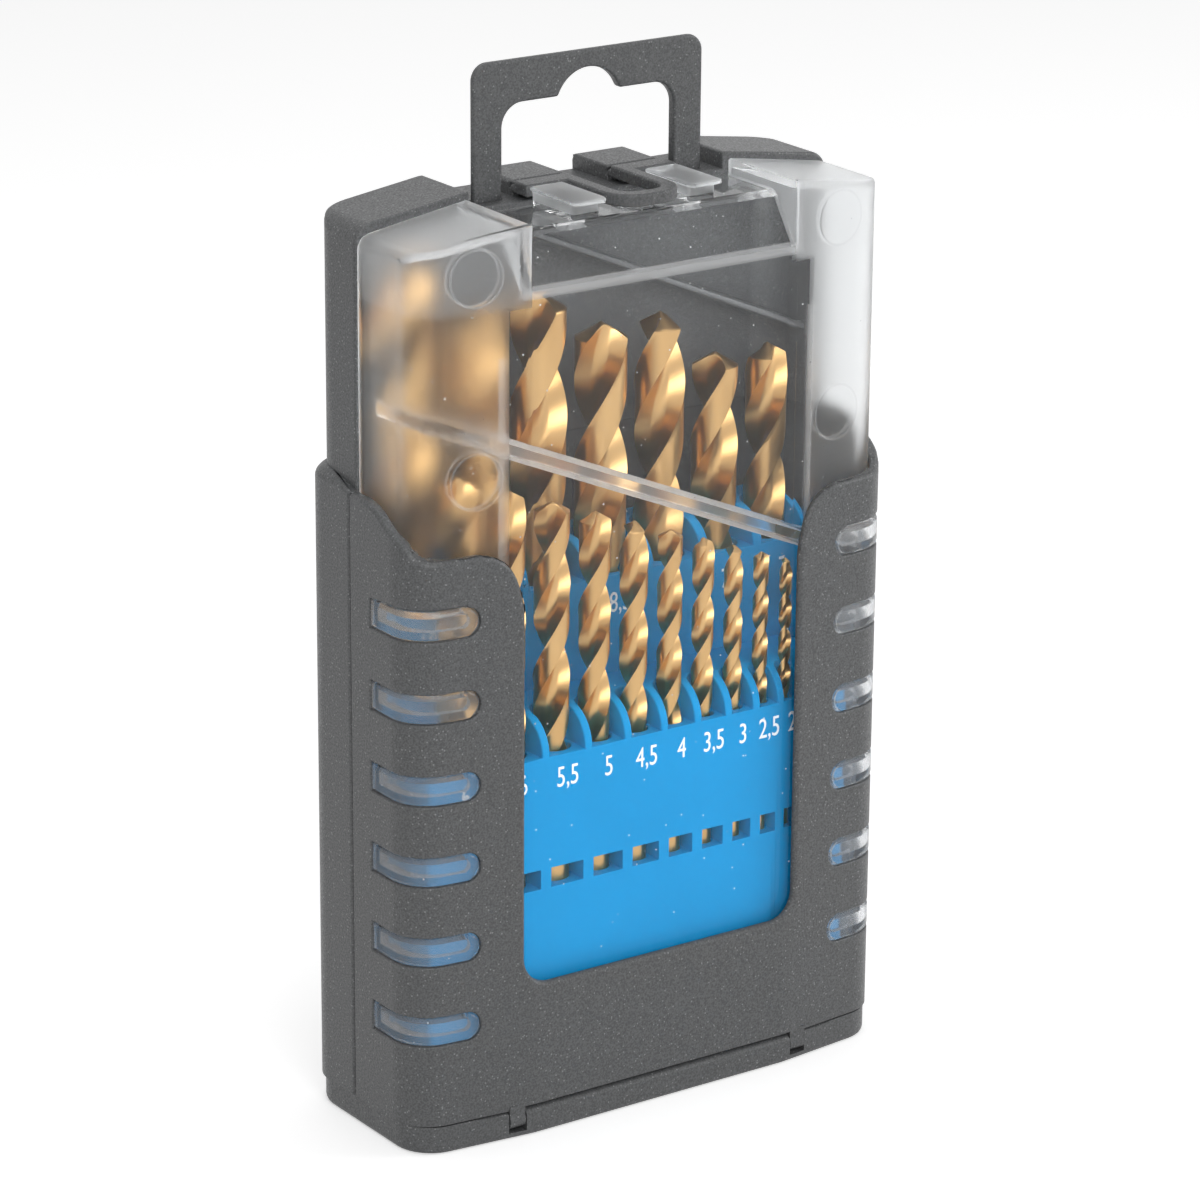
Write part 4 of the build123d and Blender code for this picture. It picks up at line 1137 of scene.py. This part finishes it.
@dataclass
class BitHolder:
    """The blue two-tier holder and the white numbers printed on it."""

    nodes: dict[str, bpy.types.Object]
    rows: dict[Tier, tuple[BitSize, ...]]
    plastic: HolderPlastic = field(default_factory=HolderPlastic)
    ink: PrintInk = field(default_factory=PrintInk)
    edging: Edging = Edging(outer=0.3, other=0.3, sharp_boxes=(((0, -25, -1), (50, 25, 45)),))
    number_height: float = 4.7 * MM
    number_width: float = 0.74
    ink_depth: float = 0.05 * MM
    facet_x: float = 24.0 * MM
    facet_turn: float = math.radians(6.2)
    number_z: dict[Tier, float] = field(
        default_factory=lambda: {Tier.FRONT: 56.5 * MM, Tier.REAR: 77.5 * MM}
    )

    def build(self) -> list[str]:
        """Dress the holder and print its numbers.

        Returns:
            The names of the pieces.
        """
        blue = self.plastic.material()
        white = self.ink.material()
        names = []
        for tier, sizes in self.rows.items():
            node = f"{tier.value}_holder"
            block = Moulding(f"{tier.value}_tier", node, "holder", "holder_blue", self.edging)
            names += [block.build(self.nodes, blue), self._numbers(tier, node, sizes, white)]
        return names

    def _numbers(
        self, tier: Tier, node: str, sizes: tuple[BitSize, ...], white: bpy.types.Material
    ) -> str:
        """Print one tier's numbers.

        Args:
            tier: Which tier.
            node: Name of the tier's CAD node.
            sizes: The bits that stand in it.
            white: The ink.

        Returns:
            The name of the new piece.
        """
        face_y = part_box(node)[0][1]
        shape = bmesh.new()
        for size in sizes:
            low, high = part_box(size.node)
            x = (low[0] + high[0]) / 2
            past = max(0.0, abs(x) - self.facet_x) if tier is Tier.FRONT else 0.0
            turn = math.copysign(self.facet_turn, x) if past else 0.0
            spot = Vector((x, face_y + past * math.tan(self.facet_turn), self.number_z[tier]))
            self._stamp(shape, size.label, spot, turn)
        mesh = bpy.data.meshes.new(f"{tier.value}_numbers")
        shape.to_mesh(mesh)
        shape.free()
        mesh.materials.append(white)
        piece = new_piece(mesh.name, mesh)
        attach(piece, "holder")
        return piece.name

    def _stamp(self, shape: bmesh.types.BMesh, text: str, spot: Vector, turn: float) -> None:
        """Add one number's solid letters.

        Args:
            shape: Mesh to add to.
            text: The number.
            spot: Its centre on the face.
            turn: Turn of the face about Z.
        """
        curve = bpy.data.curves.new("number", "FONT")
        curve.body = text
        curve.size = self.number_height
        curve.align_x = "CENTER"
        curve.align_y = "CENTER"
        curve.extrude = self.ink_depth
        curve.resolution_u = 4
        live = bpy.data.objects.new("number", curve)
        bpy.context.scene.collection.objects.link(live)
        mesh = baked_mesh(live)
        squeeze = Matrix.Diagonal((self.number_width, 1.0, 1.0, 1.0))
        upright = Euler((math.pi / 2, 0.0, turn)).to_matrix().to_4x4()
        mesh.transform(Matrix.Translation(spot) @ upright @ squeeze)
        shape.from_mesh(mesh)
        bpy.data.meshes.remove(mesh)


# ---------------------------------------------------------------------------
# Studio
# ---------------------------------------------------------------------------


class WorldSheet(ShaderSheet):
    """Small builder for the world's node tree."""

    def __init__(self, name: str) -> None:
        """Start an empty world.

        Args:
            name: Name of the new world.
        """
        self.world = bpy.data.worlds.new(name)
        self.world.use_nodes = True
        self.tree = self.world.node_tree
        self.tree.nodes.clear()
        self.output = self.tree.nodes.new("ShaderNodeOutputWorld")

    def finish(self, surface: Socket) -> bpy.types.World:
        """Link the surroundings to the output.

        Args:
            surface: Background socket.

        Returns:
            The finished world.
        """
        self.tree.links.new(surface, self.output.inputs["Surface"])
        return self.world


@dataclass
class Studio:
    """Camera, lamps, floor and surroundings.

    The camera's place is in the object's frame, in mm; its angles are in degrees.
    """

    camera_place: Colour = (-413.25, -593.57, 322.49)
    azimuth: float = -34.9
    elevation: float = 18.7
    roll: float = 0.42
    lens: float = 147.0
    sensor: float = 36.0
    sky_strength: float = 0.42
    lamps: tuple[tuple[str, Colour, float, float], ...] = (
        ("key_box", (-0.38, -0.92, 0.58), 0.6, 4.3),
        ("fill_box", (0.82, -0.45, 0.40), 0.4, 2.6),
        ("top_box", (0.0, 0.15, 0.95), 0.6, 2.0),
    )
    lamp_aim: Colour = (0.0, 0.0, 0.08)
    floor_half_width: float = 6.0
    floor_colour: Colour = (0.90, 0.90, 0.90)
    floor_glow: float = 0.42

    def build(self) -> None:
        """Set up the camera, the lamps, the floor and the world."""
        self._camera()
        self._lamps()
        self._floor()
        self._world()
        bpy.context.scene.view_settings.view_transform = "Standard"

    def _camera(self) -> None:
        """Place the camera."""
        turn, rise = math.radians(self.azimuth), math.radians(self.elevation)
        level = math.cos(rise)
        ahead = Vector((-math.sin(turn) * level, math.cos(turn) * level, -math.sin(rise)))
        across = Vector((math.cos(turn), math.sin(turn), 0.0))
        above = across.cross(ahead)
        tilt = math.radians(self.roll)
        right = across * math.cos(tilt) + above * math.sin(tilt)
        up = above * math.cos(tilt) - across * math.sin(tilt)
        data = bpy.data.cameras.new("studio_camera")
        data.lens = self.lens
        data.sensor_width = self.sensor
        data.sensor_fit = "HORIZONTAL"
        data.clip_end = 50.0
        camera = bpy.data.objects.new("studio_camera", data)
        basis = Matrix((right, up, -ahead)).transposed().to_4x4()
        camera.matrix_world = Matrix.Translation(Vector(self.camera_place) * MM) @ basis
        bpy.context.scene.collection.objects.link(camera)
        bpy.context.scene.camera = camera

    def _lamps(self) -> None:
        """Hang the soft boxes."""
        for name, place, size, power in self.lamps:
            data = bpy.data.lights.new(name, "AREA")
            data.shape = "SQUARE"
            data.size = size
            data.energy = power
            lamp = bpy.data.objects.new(name, data)
            lamp.location = place
            aim = Vector(self.lamp_aim) - lamp.location
            lamp.rotation_euler = aim.to_track_quat("-Z", "Y").to_euler()
            bpy.context.scene.collection.objects.link(lamp)

    def _floor(self) -> None:
        """Lay the pale floor."""
        shape = bmesh.new()
        bmesh.ops.create_grid(shape, x_segments=1, y_segments=1, size=self.floor_half_width)
        mesh = bpy.data.meshes.new("studio_floor")
        shape.to_mesh(mesh)
        shape.free()
        sheet = ShaderSheet("studio_floor_paper")
        paper = sheet.node("ShaderNodeBsdfDiffuse", Color=(*self.floor_colour, 1.0))
        glow = sheet.node("ShaderNodeEmission", Color=(1.0, 1.0, 1.0, 1.0))
        seen = self._seen(sheet)
        sheet.feed(glow.inputs["Strength"], sheet.math("MULTIPLY", seen, self.floor_glow))
        both = sheet.node("ShaderNodeAddShader")
        sheet.feed(both.inputs[0], paper.outputs[0])
        sheet.feed(both.inputs[1], glow.outputs[0])
        mesh.materials.append(sheet.finish(both.outputs[0]))
        new_piece("studio_floor", mesh)

    def _world(self) -> None:
        """Make the surroundings: soft white light, pure white where it is seen."""
        sheet = WorldSheet("studio_world")
        strength = sheet.ramp(self._seen(sheet), 0.0, 1.0, self.sky_strength, 1.0)
        back = sheet.node("ShaderNodeBackground", Color=(1.0, 1.0, 1.0, 1.0), Strength=strength)
        bpy.context.scene.world = sheet.finish(back.outputs[0])

    @staticmethod
    def _seen(sheet: ShaderSheet) -> Socket:
        """Tell rays that show the backdrop from those that only light the object.

        Args:
            sheet: Node tree to draw in.

        Returns:
            One for camera, reflection and see-through rays, zero for the rest.
        """
        path = sheet.node("ShaderNodeLightPath").outputs
        seen = sheet.math("MAXIMUM", path["Is Camera Ray"], path["Is Glossy Ray"])
        return sheet.math("MAXIMUM", seen, path["Is Transmission Ray"])


FRONT_SIZES = (
    BitSize(6.5, 63), BitSize(6.0, 57), BitSize(5.5, 57), BitSize(5.0, 52),
    BitSize(4.5, 47), BitSize(4.0, 43), BitSize(3.5, 39), BitSize(3.0, 33),
    BitSize(2.5, 30), BitSize(2.0, 24), BitSize(1.5, 18), BitSize(1.0, 12),
)
REAR_SIZES = (
    BitSize(10.0, 87), BitSize(9.5, 81), BitSize(9.0, 81), BitSize(8.5, 75), BitSize(8.0, 75),
    BitSize(7.5, 69), BitSize(7.0, 69),
)


def main() -> None:
    """Load the frame, build every sub-assembly and the studio, and log each piece's name."""
    logging.basicConfig(level=logging.INFO, format="%(name)s: %(message)s")
    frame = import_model()
    nodes = frame["nodes"]
    builders = (
        MouldedCase(nodes),
        ClearLid(nodes),
        BitHolder(nodes, {Tier.FRONT: FRONT_SIZES, Tier.REAR: REAR_SIZES}),
        TwistDrills((*FRONT_SIZES, *REAR_SIZES)),
    )
    for builder in builders:
        for name in builder.build():
            LOG.info("%s: %s", type(builder).__name__, name)
    Studio().build()


if __name__ == "__main__":
    main()
